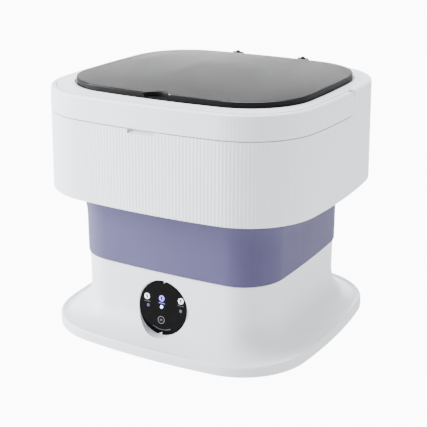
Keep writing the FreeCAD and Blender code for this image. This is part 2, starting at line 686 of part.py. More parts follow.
def pivot_rod(radius):
    """Cylinder along X through both handle pivots."""
    return rod(radius, Vector(-FAR, HANDLE_PIVOT_Y, HANDLE_PIVOT_Z), X_AXIS, 2 * FAR)


def recess_region():
    """Side view of the handle's recess: open forwards and upwards, with a rounded lower end."""
    front = block(-FAR, FAR, -FAR, HANDLE_PIVOT_Y, RECESS_Z, FAR)
    end = block(-FAR, FAR, HANDLE_PIVOT_Y, HANDLE_PIVOT_Y + RECESS_END_R, HANDLE_PIVOT_Z, FAR)
    return front.fuse(end).fuse(pivot_rod(RECESS_END_R))


def collar_screw_places():
    turn = 2 * math.pi / COLLAR_SCREW_COUNT
    reach = COLLAR_GROW + COLLAR_FLANGE_W / 2
    return [point_on(DRUM, (i + 0.5) * turn, reach) for i in range(COLLAR_SCREW_COUNT)]


def ear_spans():
    """X spans of the shell's hinge ears, two beside each lid arm."""
    spans = []
    for sx in (-1, 1):
        for side in (-1, 1):
            near = sx * HINGE_X + side * (HINGE_W / 2 + EAR_GAP)
            spans.append(tuple(sorted((near, near + side * EAR_W))))
    return spans


def make_upper_shell():
    outside = shell_block()
    hollow = shell_inner(-SHELL_WALL, SHELL_Z - 1, RIM_Z)
    shell = outside.cut(hollow)

    back_y = HANDLE_PIVOT_Y + RECESS_END_R + SHELL_WALL
    ledge_z = RECESS_Z - SHELL_WALL
    lining = shell_inner(-SHELL_WALL / 2, ledge_z, RIM_Z).cut(
        shell_inner(-RECESS_D - SHELL_WALL, ledge_z, RIM_Z))
    lining = lining.common(block(-FAR, FAR, -FAR, back_y, ledge_z, RIM_Z))
    pocket_w = FINGER_W / 2 + SHELL_WALL
    pocket = shell_inner(-SHELL_WALL / 2, ledge_z - FINGER_H, ledge_z).cut(
        shell_inner(-RECESS_D - SHELL_WALL, ledge_z - FINGER_H, ledge_z))
    pocket = pocket.common(block(-pocket_w, pocket_w, -FAR, 0, ledge_z - FINGER_H, ledge_z))
    bosses = []
    boss_z = COLLAR_FLANGE_Z + COLLAR_FLANGE_T
    for x, y in collar_screw_places():
        bosses.append(rod(BOSS_R, Vector(x, y, boss_z), Z_UP, RIM_Z - boss_z))
    ears = []
    for x0, x1 in ear_spans():
        ears.append(rod(HINGE_R, Vector(x0, HINGE_Y, HINGE_Z), X_AXIS, x1 - x0))
        ears.append(block(x0, x1, HINGE_Y - HINGE_R, HINGE_Y + HINGE_R, SHELL_TOP - 1, HINGE_Z))
    shell = fuse(shell, [lining, pocket] + bosses + ears)

    channel = shell_inner(5, RECESS_Z - FINGER_H, SHELL_TOP + 1).cut(
        shell_inner(-RECESS_D, RECESS_Z - FINGER_H - 1, SHELL_TOP + 2))
    shell = shell.cut(channel.common(recess_region()))
    finger = block(-FINGER_W / 2, FINGER_W / 2, -FAR, 0, RECESS_Z - FINGER_H, RECESS_Z + 1)
    shell = shell.cut(channel.common(finger))
    shell = shell.cut(slab(LID, SEAT_Z, FAR, LID_SIDE_GAP, LID_BACK))
    shell = shell.cut(slab(DRUM, RIM_Z - 1, FAR, -MOUTH_INSET))
    for x, y in collar_screw_places():
        shell = shell.cut(rod(SCREW_R + RUN, Vector(x, y, boss_z), Z_UP, SEAT_Z - 1 - boss_z))
    shell = shell.cut(pivot_rod(HANDLE_PIN_R + PRESS).cut(shell_inner(-RECESS_D - 40, SHELL_Z, SHELL_TOP)))
    span = HINGE_X + HINGE_W
    shell = shell.cut(rod(HINGE_PIN_R, Vector(-span, HINGE_Y, HINGE_Z), X_AXIS, 2 * span))
    save("upper_shell", shell)


def make_collar():
    wall = ring(DRUM, COLLAR_Z, RIM_Z, COLLAR_GROW - COLLAR_T, COLLAR_GROW)
    groove = ring(DRUM, BEAD_HIGH_Z - BEAD_H / 2 - TOUCH, BEAD_HIGH_Z + BEAD_H / 2 + TOUCH,
                  COLLAR_GROW - BEAD_D - 2 * TOUCH, COLLAR_GROW + 1)
    flange_top = COLLAR_FLANGE_Z + COLLAR_FLANGE_T
    flange = ring(DRUM, COLLAR_FLANGE_Z, flange_top, COLLAR_GROW - 1, COLLAR_GROW + COLLAR_FLANGE_W)
    collar = fuse(wall.cut(groove), (flange,))
    for x, y in collar_screw_places():
        collar = collar.cut(rod(SCREW_R + RUN, Vector(x, y, COLLAR_FLANGE_Z), Z_UP, COLLAR_FLANGE_T))
    save("inner_collar", collar)
    length = SEAT_Z - 1.5 - COLLAR_FLANGE_Z
    screws = [screw(x, y, COLLAR_FLANGE_Z, length) for x, y in collar_screw_places()]
    save("collar_screws", *screws)
    hug = COLLAR_GROW + SKIN_T + 2 * TOUCH
    save("wall_clamp_ring", ring(DRUM, CLAMP_Z, CLAMP_Z + CLAMP_H, hug, hug + CLAMP_T))


# ---------------------------------------------------------------- carry handle
def make_handle():
    low = HANDLE_TOP - HANDLE_H
    band = shell_block().common(block(-FAR, FAR, -FAR, FAR, low, HANDLE_TOP))
    band = band.cut(shell_inner(-HANDLE_T, low - 1, SHELL_TOP + 1))
    front = block(-FAR, FAR, -FAR, HANDLE_PIVOT_Y, low, HANDLE_TOP)
    handle = band.common(front.fuse(pivot_rod(HANDLE_END_R)))
    inner_x = shell_half_width(HANDLE_PIVOT_Z) - HANDLE_T
    bore_end = inner_x + HANDLE_PIN_IN + HANDLE_GAP
    bore = rod(HANDLE_PIN_R + RUN, Vector(-bore_end, HANDLE_PIVOT_Y, HANDLE_PIVOT_Z), X_AXIS, 2 * bore_end)
    save("carry_handle", handle.cut(bore).removeSplitter())

    pins = []
    pin_tip = inner_x + HANDLE_PIN_IN
    inside_x = shell_half_width(HANDLE_PIVOT_Z) - RECESS_D - SHELL_WALL
    for sx in (-1, 1):
        head_x = inside_x - HANDLE_PIN_HEAD_T - GAP
        start = Vector(sx * head_x, HANDLE_PIVOT_Y, HANDLE_PIVOT_Z)
        pin = rod(HANDLE_PIN_R, start, X_AXIS * sx, pin_tip - head_x)
        head = rod(HANDLE_PIN_HEAD_R, start, X_AXIS * sx, HANDLE_PIN_HEAD_T)
        pins.append(pin.fuse(head).removeSplitter())
    save("handle_pins", *pins)


def shell_half_width(z):
    """Half width of the shell's outside at a height, at the handle pivots."""
    bow = SHELL_SIDE_R - math.sqrt(SHELL_SIDE_R ** 2 - HANDLE_PIVOT_Y ** 2)
    return HALF_X - bow - SHELL_DRAFT * (z - SHELL_Z) / SHELL_H


# ---------------------------------------------------------------- lid
def notch(low):
    """Finger scoop at the middle of the lid's front edge, above a height."""
    front = LID_BACK - LID[1]
    return rod(NOTCH_R, Vector(0, front + NOTCH_D - NOTCH_R, low), Z_UP, FAR)


def make_lid():
    panel = slab(LID, PANEL_Z, LID_TOP, 0, LID_BACK).cut(notch(0))
    top_edges = [e for e in panel.Edges if e.BoundBox.ZMin > LID_TOP - 0.01]
    save("lid_panel", panel.makeFillet(LID_PANEL_EDGE_R, top_edges))

    frame = ring(LID, LID_Z, PANEL_Z, -LID_FRAME_IN - LID_FRAME_W, -LID_FRAME_IN, LID_BACK)
    tongue = rod(NOTCH_R + 2, Vector(0, LID_BACK - LID[1] + NOTCH_D - NOTCH_R, LID_Z), Z_UP,
                 PANEL_Z - LID_Z)
    tongue = tongue.common(slab(LID, LID_Z, PANEL_Z, -LID_FRAME_IN, LID_BACK))
    frame = fuse(frame, (tongue,)).cut(notch(LID_Z + NOTCH_FLOOR))
    lid_rear = LID_BACK + LID[1]
    arm_low = HINGE_Z - HINGE_R
    arms = []
    for sx in (-1, 1):
        x0 = sx * HINGE_X - HINGE_W / 2
        x1 = sx * HINGE_X + HINGE_W / 2
        inside = lid_rear - LID_FRAME_IN - LID_FRAME_W / 2
        arms.append(block(x0, x1, inside, HINGE_Y, arm_low, PANEL_Z))
        arms.append(block(x0, x1, lid_rear + ARM_CLEAR, HINGE_Y, arm_low, HINGE_Z + HINGE_R))
        arms.append(rod(HINGE_R, Vector(x0, HINGE_Y, HINGE_Z), X_AXIS, HINGE_W))
    frame = fuse(frame, arms)
    span = HINGE_X + HINGE_W
    frame = frame.cut(rod(HINGE_PIN_R + RUN, Vector(-span, HINGE_Y, HINGE_Z), X_AXIS, 2 * span))
    save("lid_frame", frame)

    low = LID_Z - LID_LIFT + 2 * TOUCH
    save("lid_gasket", ring(LID, low, LID_Z, -GASKET_IN - GASKET_W, -GASKET_IN, LID_BACK))

    pins = []
    for sx in (-1, 1):
        reach = HINGE_W / 2 + EAR_GAP + EAR_W
        start = Vector(sx * HINGE_X - reach, HINGE_Y, HINGE_Z)
        pins.append(rod(HINGE_PIN_R, start, X_AXIS, 2 * reach))
    save("hinge_pins", *pins)


make_base_housing()
make_bottom_cover()
make_bottom_screws()
make_rubber_feet()
make_lower_tub()
make_drain()
make_socket()
make_panel()
make_folding_wall()
make_drive()
make_pulsator()
make_upper_shell()
make_collar()
make_handle()
make_lid()
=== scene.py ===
# %% [markdown]
# A portable mini washer. It is a tub on a flared base, a soft wall that folds, and an upper
# shell that slides down over the tub. The shell carries a swing lid and a bucket handle.
# The frame file fixes every size and every joint. This lesson gives each piece its
# finished shape and its surface, and hangs it on the body that it moves with.

# %% Load the frame
import json
import math
import random

import bmesh
import bpy
from mathutils import Matrix, Vector


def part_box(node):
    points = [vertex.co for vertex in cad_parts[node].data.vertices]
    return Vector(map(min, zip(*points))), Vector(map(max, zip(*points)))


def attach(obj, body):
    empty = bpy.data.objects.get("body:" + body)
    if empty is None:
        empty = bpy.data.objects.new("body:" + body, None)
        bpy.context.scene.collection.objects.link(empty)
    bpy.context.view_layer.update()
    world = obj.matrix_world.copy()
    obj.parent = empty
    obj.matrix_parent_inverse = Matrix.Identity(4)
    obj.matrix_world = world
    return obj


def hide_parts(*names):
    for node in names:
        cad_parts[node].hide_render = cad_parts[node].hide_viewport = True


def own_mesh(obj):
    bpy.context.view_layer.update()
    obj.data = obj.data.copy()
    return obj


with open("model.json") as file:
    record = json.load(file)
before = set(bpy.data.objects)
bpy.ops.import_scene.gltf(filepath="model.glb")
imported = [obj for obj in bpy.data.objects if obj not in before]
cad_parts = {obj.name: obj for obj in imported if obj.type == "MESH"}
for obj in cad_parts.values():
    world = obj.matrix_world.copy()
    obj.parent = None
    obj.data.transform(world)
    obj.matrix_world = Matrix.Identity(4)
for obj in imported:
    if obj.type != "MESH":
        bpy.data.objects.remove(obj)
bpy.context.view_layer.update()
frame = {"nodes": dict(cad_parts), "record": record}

# %% [markdown]
# The camera comes first, because every later choice is judged through it. The washer is
# seen from the front right and from a little above. A short lens close by would make the
# shell look larger than the base, so this is a long lens from further off, which keeps
# the upright edges nearly parallel.

# %% Camera
CAMERA_PLACE = Vector((0.5574, -0.9804, 0.5173))
CAMERA_TURN = math.radians(29.618)
CAMERA_DIP = math.radians(19.229)
SENSOR = 36.0
LENS = 84.93

camera_data = bpy.data.cameras.new("camera")
camera_data.sensor_width = SENSOR
camera_data.lens = LENS
camera = bpy.data.objects.new("camera", camera_data)
bpy.context.scene.collection.objects.link(camera)
camera.location = CAMERA_PLACE
camera.rotation_euler = (math.pi / 2 - CAMERA_DIP, 0, CAMERA_TURN)
bpy.context.scene.camera = camera
print("lens", LENS, "mm from", round(CAMERA_PLACE.length, 3), "m")

# %% [markdown]
# White goods are lit with very large soft lights, because a small lamp would leave a hard
# spot on each rounded edge. A strong key on the left makes the front the brightest wall. A
# weaker one on the right lifts the far wall again, so the rounded corner between them,
# which faces the camera, is the greyest part. A low bright card behind the washer is only
# there to be mirrored in the rear of its lid.

# %% Lights
MIDDLE = (0, 0, 0.15)


def soft_light(name, place, aim, width, height, power, tint=(1.0, 1.0, 1.0)):
    """A rectangular area light at a place, turned to face a point."""
    data = bpy.data.lights.new(name, "AREA")
    data.shape = "RECTANGLE"
    data.size = width
    data.size_y = height
    data.energy = power
    data.color = tint
    light = bpy.data.objects.new(name, data)
    light.location = place
    light.rotation_euler = (Vector(aim) - Vector(place)).to_track_quat("-Z", "Y").to_euler()
    light.visible_camera = False
    bpy.context.scene.collection.objects.link(light)


soft_light("key_left", (-1.9, -1.1, 0.9), MIDDLE, 1.5, 1.5, 212.0, (0.97, 0.985, 1.0))
soft_light("right_fill", (1.9, 0.3, 0.9), MIDDLE, 1.4, 1.4, 20.0, (0.97, 0.98, 1.0))
soft_light("top_fill", (0.0, 0.2, 2.2), MIDDLE, 1.6, 1.6, 106.0)
soft_light("back_card", (-0.85, 1.49, 0.34), (0.0, 0.0, 0.34), 2.8, 0.34, 48.0)

# %% [markdown]
# Seen from above, every wall is the same kind of shape: a rounded rectangle whose sides
# bow out slightly. A bevelled box would have flat sides and a visible start to each
# corner. Eight arcs that run into each other have neither: four long side arcs and four
# corner arcs. The half sizes come from the frame, and the arc radii are the moulder's own
# values.

# %% Plan outlines
MM = 0.001


def outline(node, corner, side, end):
    """Half width, half depth and the three arc radii of a wall, from its node's box."""
    low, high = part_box(node)
    return ((high.x - low.x) / 2, (high.y - low.y) / 2, corner, side, end)


SHELL = outline("upper_shell", 0.084, 0.734, 0.875)
DRUM = outline("lower_tub", 0.048, 1.4, 1.4)
FLANGE = outline("base_housing", 0.083, 0.693, 0.764)
LID = outline("lid_panel", 0.073, 1.086, 0.900)


def corner_centre(shape):
    """Centre of the corner arc that touches both the side arc and the end arc."""
    half_x, half_y, corner, side, end = shape
    side_x = half_x - side
    end_y = half_y - end
    span = math.hypot(side_x, end_y)
    reach = side - corner
    along = (reach ** 2 - (end - corner) ** 2 + span ** 2) / (2 * span)
    across = math.sqrt(reach ** 2 - along ** 2)
    out_x = -side_x / span
    out_y = end_y / span
    return side_x + along * out_x - across * out_y, along * out_y + across * out_x


def eight_arcs(shape):
    """(centre x, centre y, radius, start angle, end angle) of each arc, anticlockwise."""
    half_x, half_y, corner, side, end = shape
    cx, cy = corner_centre(shape)
    a = math.atan2(cy, cx - (half_x - side))
    b = math.atan2(cy - (half_y - end), cx)
    pi = math.pi
    return (
        (half_x - side, 0, side, -a, a),
        (cx, cy, corner, a, b),
        (0, half_y - end, end, b, pi - b),
        (-cx, cy, corner, pi - b, pi - a),
        (side - half_x, 0, side, pi - a, pi + a),
        (-cx, -cy, corner, pi + a, pi + b),
        (0, end - half_y, end, pi + b, 2 * pi - b),
        (cx, -cy, corner, 2 * pi - b, 2 * pi - a),
    )


def arc_steps(shape, pitch, group=1):
    """Edges along each arc, about one pitch long and in whole groups."""
    spans = [radius * (end - start) for _, _, radius, start, end in eight_arcs(shape)]
    return tuple(group * max(1, round(span / pitch / group)) for span in spans)


print("shell outline, mm:", [round(v / MM, 1) for v in SHELL])

# %% [markdown]
# A moulded wall is a stack of such outlines. It could be a box that is cut and bevelled,
# but then the flare and the lean would each need their own tool. Here the first outline is
# laid out as a ring of edges, and each further level is one extrude of that ring, whose
# new vertices are moved to their places on the next outline. A wall, a flare or a rolled
# edge then only needs its list of heights.

# %% Walls from levels
def places_at(step, steps, flute):
    """The points of one level, in order round its outline."""
    shape, z, grow, back, depth = step
    points = []
    for (cx, cy, radius, start, end), count in zip(eight_arcs(shape), steps):
        for i in range(count):
            turn = start + (end - start) * i / count
            reach = radius + grow - depth * flute[len(points) % len(flute)]
            points.append(Vector((cx + reach * math.cos(turn), cy + reach * math.sin(turn) + back, z)))
    return points


def verts_in(geometry):
    return [g for g in geometry if isinstance(g, bmesh.types.BMVert)]


def wall(bm, levels, steps, closed=False, flute=(0.0,)):
    """Extrude a ring through its levels, capped at both ends or joined end to end."""
    place = bm.verts.layers.int.new("place")
    first = [bm.verts.new(spot) for spot in places_at(levels[0], steps, flute)]
    for index, vert in enumerate(first):
        vert[place] = index
    ring = [bm.edges.new((first[i - 1], first[i])) for i in range(len(first))]
    if not closed:
        bmesh.ops.contextual_create(bm, geom=ring)
    for step in levels[1:] + levels[:1] * closed:
        grown = bmesh.ops.extrude_edge_only(bm, edges=ring)["geom"]
        last = verts_in(grown)
        fresh = set(last)
        ring = [g for g in grown if isinstance(g, bmesh.types.BMEdge) and fresh.issuperset(g.verts)]
        spots = places_at(step, steps, flute)
        for vert in last:
            vert.co = spots[vert[place]]
    if closed:
        bmesh.ops.remove_doubles(bm, verts=first + last, dist=0.001 * MM)
    else:
        bmesh.ops.contextual_create(bm, geom=ring)
    bm.verts.layers.int.remove(place)
    bmesh.ops.recalc_face_normals(bm, faces=bm.faces)


def level(shape, z, grow=0.0, back=0.0, depth=0.0):
    """One outline of a wall: its shape, height, offset, shift to the rear, groove depth."""
    return (shape, z, grow, back, depth)


def rolled(shape, z, radius, grow=0.0, back=0.0, depth=0.0, count=4, top=True, hollow=False):
    """Levels round a rolled edge at height z, from the side wall over to the flat."""
    levels = []
    way = -1 if hollow else 1
    for i in range(count + 1):
        turn = math.pi / 2 * i / count
        side = grow - way * radius * (1 - math.cos(turn))
        rise = radius * (math.sin(turn) - 1)
        levels.append(level(shape, z + (rise if top else -rise), side, back,
                            depth * (1 - i / count)))
    return levels


print("walls are ready")

# %% [markdown]
# Each moulding becomes one object, whose place is in its mesh. Small edges keep a crisp
# line and wide curves are smooth, so shading is split by angle. Pockets and channels are
# cut with exact booleans, as a mould's inserts would form them, and each is applied at
# once, so that nothing is left to work out later.

# %% Pieces, cuts and turned shapes
SMOOTH_BELOW = math.radians(35)


def shade(mesh):
    """Smooth shading that stays sharp at real edges."""
    mesh.shade_smooth()
    mesh.set_sharp_from_angle(angle=SMOOTH_BELOW)


def piece(name, bm):
    """Turn a bmesh into an object with its place in its mesh."""
    mesh = bpy.data.meshes.new(name)
    bm.to_mesh(mesh)
    bm.free()
    shade(mesh)
    obj = bpy.data.objects.new(name, mesh)
    bpy.context.scene.collection.objects.link(obj)
    return obj


def settle(obj):
    """Apply the modifiers of a piece."""
    bpy.context.view_layer.update()
    made = obj.evaluated_get(bpy.context.evaluated_depsgraph_get())
    mesh = bpy.data.meshes.new_from_object(made)
    obj.modifiers.clear()
    obj.data = mesh
    shade(mesh)
    return obj


def carve(obj, tool, how="DIFFERENCE"):
    """Cut, keep or add a tool shape, then throw the tool away."""
    cut = obj.modifiers.new("carve", "BOOLEAN")
    cut.operation = how
    cut.solver = "EXACT"
    cut.object = tool
    settle(obj)
    bpy.data.objects.remove(tool)
    return obj


def wall_piece(name, levels, steps, closed=False, flute=(0.0,)):
    bm = bmesh.new()
    wall(bm, levels, steps, closed, flute)
    return piece(name, bm)


def turned(bm, profile, place, axis=(0, 0, 1), segments=64):
    """Spin a profile of (radius, height) points about an axis through a place."""
    lathe = bmesh.new()
    verts = [lathe.verts.new((radius, 0, height)) for radius, height in profile]
    edges = [lathe.edges.new(pair) for pair in zip(verts, verts[1:])]
    bmesh.ops.spin(lathe, geom=verts + edges, cent=(0, 0, 0), axis=(0, 0, 1),
                   dvec=(0, 0, 0), angle=2 * math.pi, steps=segments, use_merge=True,
                   use_normal_flip=False, use_duplicate=False)
    bmesh.ops.remove_doubles(lathe, verts=lathe.verts, dist=1e-6)
    bmesh.ops.recalc_face_normals(lathe, faces=lathe.faces)
    turn = Vector((0, 0, 1)).rotation_difference(Vector(axis)).to_matrix().to_4x4()
    bmesh.ops.transform(lathe, matrix=Matrix.Translation(place) @ turn, verts=lathe.verts)
    mesh = bpy.data.meshes.new("lathe")
    lathe.to_mesh(mesh)
    lathe.free()
    bm.from_mesh(mesh)
    bpy.data.meshes.remove(mesh)


def turned_piece(name, profile, place, axis=(0, 0, 1), segments=64):
    bm = bmesh.new()
    turned(bm, profile, place, axis, segments)
    return piece(name, bm)


def hang(obj, body, slot, finish, *replaced):
    """Hang a piece on its body, give it its surface and hide the frame's nodes it stands for."""
    obj.data.materials.clear()
    obj.data.materials.append(finish)
    even = obj.modifiers.new("even", "WEIGHTED_NORMAL")
    even.keep_sharp = True
    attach(obj, body)
    if replaced:
        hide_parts(*replaced)
    print(obj.name, "faces:", len(obj.data.polygons))
    return obj


# %% [markdown]
# Surfaces are written as sums. A small class wraps a socket of a node, so that noise and
# masks can be added and multiplied like numbers, and each sum adds its own Math node. The
# nodes could be placed by hand, but a sum is easier to read and to change. Every pattern
# reads Object coordinates, in metres, so it stays fixed to the piece.

# %% Shader maths
class Signal:
    """A node socket that can be used in a sum."""

    def __init__(self, tree, socket):
        self.tree = tree
        self.socket = socket

    def math(self, operation, other, swap=False):
        pair = (other, self) if swap else (self, other)
        return add_node(self.tree, "ShaderNodeMath", {"operation": operation},
                        {0: pair[0], 1: pair[1]})

    def __add__(self, other):
        return self.math("ADD", other)

    def __radd__(self, other):
        return self.math("ADD", other, swap=True)

    def __sub__(self, other):
        return self.math("SUBTRACT", other)

    def __rsub__(self, other):
        return self.math("SUBTRACT", other, swap=True)

    def __mul__(self, other):
        return self.math("MULTIPLY", other)

    def __rmul__(self, other):
        return self.math("MULTIPLY", other, swap=True)


def feed(tree, socket, value):
    """Link a signal to a socket, or set the socket's own value."""
    if isinstance(value, Signal):
        tree.links.new(value.socket, socket)
    else:
        socket.default_value = value


def add_node(tree, kind, settings, values, output=0):
    """Add a node: its settings first, then the values or links of its sockets."""
    node = tree.nodes.new(kind)
    for key, value in settings.items():
        setattr(node, key, value)
    for key, value in values.items():
        feed(tree, node.inputs[key], value)
    return Signal(tree, node.outputs[output])


def noise(tree, scale, detail=3.0, roughness=0.5, stretch=(1, 1, 1)):
    """Noise of a number of features per metre, stretched along an axis if asked."""
    place = add_node(tree, "ShaderNodeTexCoord", {}, {}, "Object")
    place = add_node(tree, "ShaderNodeMapping", {}, {"Vector": place, "Scale": stretch})
    return add_node(tree, "ShaderNodeTexNoise", {},
                    {"Vector": place, "Scale": scale, "Detail": detail, "Roughness": roughness})


def blend_colours(tree, first, second, share):
    return add_node(tree, "ShaderNodeMix", {"data_type": "RGBA"}, {0: share, 6: first, 7: second}, 2)


def bump(tree, height, depth):
    """Normals from a height pattern whose full step is depth metres."""
    return add_node(tree, "ShaderNodeBump", {}, {"Height": height, "Distance": depth,
                                                 "Strength": 1.0})


def surface(name, sockets):
    """A new material; returns its tree. Constant values go straight on the shader."""
    material = bpy.data.materials.new(name)
    material.use_nodes = True
    shader = material.node_tree.nodes["Principled BSDF"]
    for key, value in sockets.items():
        shader.inputs[key].default_value = value
    return material, material.node_tree, shader.inputs


# %% [markdown]
# Moulded plastic is never one flat colour. The mould is spark-eroded or bead-blasted, so
# the surface has a fine even grain, and the gloss wanders a little where the plastic
# cooled at different speeds. Image textures could hold that, but noise has no seams and no
# limit to its detail. All the plastics of the washer are this one recipe, with a finer or
# coarser grain.

# %% Moulded plastics
def moulded(name, light, dark, gloss, grain, grain_depth, shine=0.5):
    """Injection-moulded plastic: cloudy tone, wandering gloss and a fine grain."""
    material, tree, sockets = surface(name, {"IOR": 1.49, "Specular IOR Level": shine})
    clouds = noise(tree, 14.0, 4.0)
    fine = noise(tree, grain, 2.0, 0.6)
    feed(tree, sockets["Base Color"], blend_colours(tree, light, dark, clouds))
    feed(tree, sockets["Roughness"], clouds * 0.10 + fine * 0.06 + (gloss - 0.08))
    feed(tree, sockets["Normal"], bump(tree, fine, grain_depth))
    return material


def grey(value, tint=0.0):
    """A grey that leans to blue by tint."""
    return (value - tint, value, value + tint, 1)


shell_white = moulded("shell_white", grey(0.85, 0.04), grey(0.81, 0.04), 0.42, 1800, 0.00002)
base_white = moulded("base_white", grey(0.85, 0.04), grey(0.81, 0.04), 0.38, 2400, 0.00001)
tub_white = moulded("tub_white", grey(0.82), grey(0.77), 0.30, 2400, 0.00001)
pulsator_grey = moulded("pulsator_grey", grey(0.62, 0.01), grey(0.56, 0.01), 0.28, 2400, 0.00001)
ring_white = moulded("ring_white", grey(0.70), grey(0.64), 0.3, 2400, 0.00001)
mid_grey = moulded("mid_grey", grey(0.30), grey(0.25), 0.45, 1500, 0.00002)
satin_black = moulded("satin_black", grey(0.006), grey(0.003), 0.45, 1500, 0.00002, 0.10)
board_green = moulded("board_green", (0.02, 0.15, 0.06, 1), (0.015, 0.11, 0.05, 1), 0.4, 900, 0.00003)
print("moulded plastics ready")

# %% [markdown]
# Silicone looks soft because it has almost no gloss: light spreads in it a little and
# comes back even. Scattering under the surface would be the long way to show it. A low
# sheen that lifts the edges, as on skin, looks the same at this size and renders faster.
# It also has a fine leathery grain, and faint dusty patches where hands have touched it.

# %% Silicone and rubber
def soft(name, light, dark, gloss, grain, grain_depth, sheen):
    material, tree, sockets = surface(name, {"IOR": 1.41, "Sheen Weight": sheen,
                                             "Sheen Roughness": 0.5})
    patches = noise(tree, 22.0, 5.0, 0.55)
    fine = noise(tree, grain, 3.0, 0.6)
    feed(tree, sockets["Base Color"], blend_colours(tree, light, dark, patches))
    feed(tree, sockets["Roughness"], patches * 0.12 + (gloss - 0.06))
    feed(tree, sockets["Normal"], bump(tree, fine + patches * 2.0, grain_depth))
    return material


lavender_silicone = soft("lavender_silicone", (0.066, 0.058, 0.144, 1), (0.058, 0.051, 0.128, 1),
                         0.62, 1400, 0.00003, 0.05)
black_rubber = soft("black_rubber", grey(0.022), grey(0.014), 0.7, 900, 0.00004, 0.1)

# %% [markdown]
# The lid is a smoked clear sheet. Seen from low in front it mostly mirrors the bright
# room, and only a hint of the tub shows through. Real transmission would need many more
# light bounces, so it is a dark, slightly see-through gloss. The panel lens is opaque and
# almost black. Fine wipe marks break up both reflections.

# %% Smoked lid and panel lens
def polished(name, tint, alpha, gloss, shine):
    material, tree, sockets = surface(name, {"IOR": 1.5, "Specular IOR Level": shine,
                                             "Alpha": alpha})
    wipes = noise(tree, 60.0, 4.0, 0.6, stretch=(1, 0.15, 1))
    haze = noise(tree, 9.0, 2.0)
    feed(tree, sockets["Base Color"], blend_colours(tree, tint, grey(0.0), haze * 0.3))
    feed(tree, sockets["Roughness"], wipes * 0.05 + haze * 0.05 + (gloss - 0.05))
    material.surface_render_method = "BLENDED" if alpha < 1 else "DITHERED"
    return material


smoked_lid = polished("smoked_lid", grey(0.012), 0.92, 0.14, 0.42)
panel_black = polished("panel_black", grey(0.002), 1.0, 0.10, 0.06)
print("polished sheets ready")

# %% [markdown]
# The marks on the panel are printed behind its lens and lit by small lamps. Lamps in the
# scene would spill over the housing, so each mark gives its own light instead, in white,
# violet, pale blue or a dull grey for what is off.

# %% Printed and lit marks
def glowing(name, colour, strength):
    """A printed or lit mark: its light varies a little from side to side."""
    material, tree, sockets = surface(name, {"Roughness": 0.4, "Emission Strength": strength})
    uneven = noise(tree, 300.0, 2.0)
    dimmer = tuple(0.8 * c for c in colour[:3]) + (1,)
    feed(tree, sockets["Base Color"], blend_colours(tree, colour, dimmer, uneven))
    feed(tree, sockets["Emission Color"], blend_colours(tree, colour, dimmer, uneven))
    return material


mark_white = glowing("mark_white", (0.85, 0.86, 0.9, 1), 1.6)
mark_lit = glowing("mark_lit", (0.20, 0.15, 0.95, 1), 2.2)
mark_bright = glowing("mark_bright", (0.55, 0.6, 1.0, 1), 6.0)
mark_dim = glowing("mark_dim", (0.05, 0.05, 0.12, 1), 0.3)
mark_grey = glowing("mark_grey", (0.10, 0.10, 0.12, 1), 0.3)
print("marks ready")

# %% [markdown]
# Metal is only on the screws, the shafts, the bushes and the motor can. Turned parts have
# fine rings. A wave texture would make them too even, so they are a noise stretched out
# sideways, which leaves thin uneven lines along the height.

# %% Metals
def turned_metal(name, light, dark, gloss):
    material, tree, sockets = surface(name, {"Metallic": 1.0})
    rings = noise(tree, 400.0, 3.0, 0.6, stretch=(0.05, 0.05, 4))
    stain = noise(tree, 40.0, 3.0)
    feed(tree, sockets["Base Color"], blend_colours(tree, light, dark, stain))
    feed(tree, sockets["Roughness"], rings * 0.2 + (gloss - 0.1))
    feed(tree, sockets["Normal"], bump(tree, rings, 0.00002))
    return material


plated_steel = turned_metal("plated_steel", (0.62, 0.62, 0.63, 1), (0.5, 0.5, 0.5, 1), 0.32)
drawn_steel = turned_metal("drawn_steel", (0.48, 0.49, 0.5, 1), (0.38, 0.38, 0.4, 1), 0.42)
bush_brass = turned_metal("bush_brass", (0.75, 0.56, 0.25, 1), (0.6, 0.42, 0.18, 1), 0.35)

# %% [markdown]
# Every piece of the frame gets the surface of its slot. Screws, shafts, feet and the drive
# already have their true shape, so they stay as they are. The pieces that show from
# outside are then remade below in finer form.

# %% Surfaces of the frame's own pieces
SLOT_SURFACES = {
    "white_plastic": tub_white,
    "handle_white": shell_white,
    "trim_white": base_white,
    "grey_plastic": mid_grey,
    "black_plastic": satin_black,
    "pulsator_plastic": pulsator_grey,
    "lavender_silicone": lavender_silicone,
    "black_rubber": black_rubber,
    "panel_gloss": panel_black,
    "smoked_lid": smoked_lid,
    "board_green": board_green,
    "screw_steel": plated_steel,
    "motor_steel": drawn_steel,
    "bush_brass": bush_brass,
}
for entry in frame["record"]["subparts"]:
    node = frame["nodes"][entry["node"]]
    for material_slot in node.material_slots:
        material_slot.material = SLOT_SURFACES[entry["material_slot"]]
print("nodes with a surface:", len(frame["nodes"]))

# %% [markdown]
# The base is one moulding. Its flange lies on the floor, a wide concave flare sweeps up
# from the flange, and the drum wall stands on the flare. The flare goes from the flange's
# outline to the drum's outline along a quarter circle. Bending a flat plate up would crease
# at the corners, so each level is a mix of the two outlines instead. The flange's rim is
# raised a little, which leaves a faint dark valley inside it.

# %% Base moulding
base_low, base_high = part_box("base_housing")
FLANGE_TOP = base_low.z + 12.0 * MM
FLARE_R = 38.0 * MM
FLARE_TOP = FLANGE_TOP + FLARE_R
EDGE_R = 2.5 * MM
WALL = 2.5 * MM
HEM = 0.6 * MM
RIDGE = tuple(size - EDGE_R for size in FLANGE)
VALLEY_LINE = tuple(size - EDGE_R - 3.5 * MM for size in FLANGE)
BASE_STEPS = arc_steps(DRUM, 3.5 * MM)
FLARE_LEVELS = 22
VALLEY = 1.3 * MM


def mixed(first, second, share):
    return tuple(a + (b - a) * share for a, b in zip(first, second))


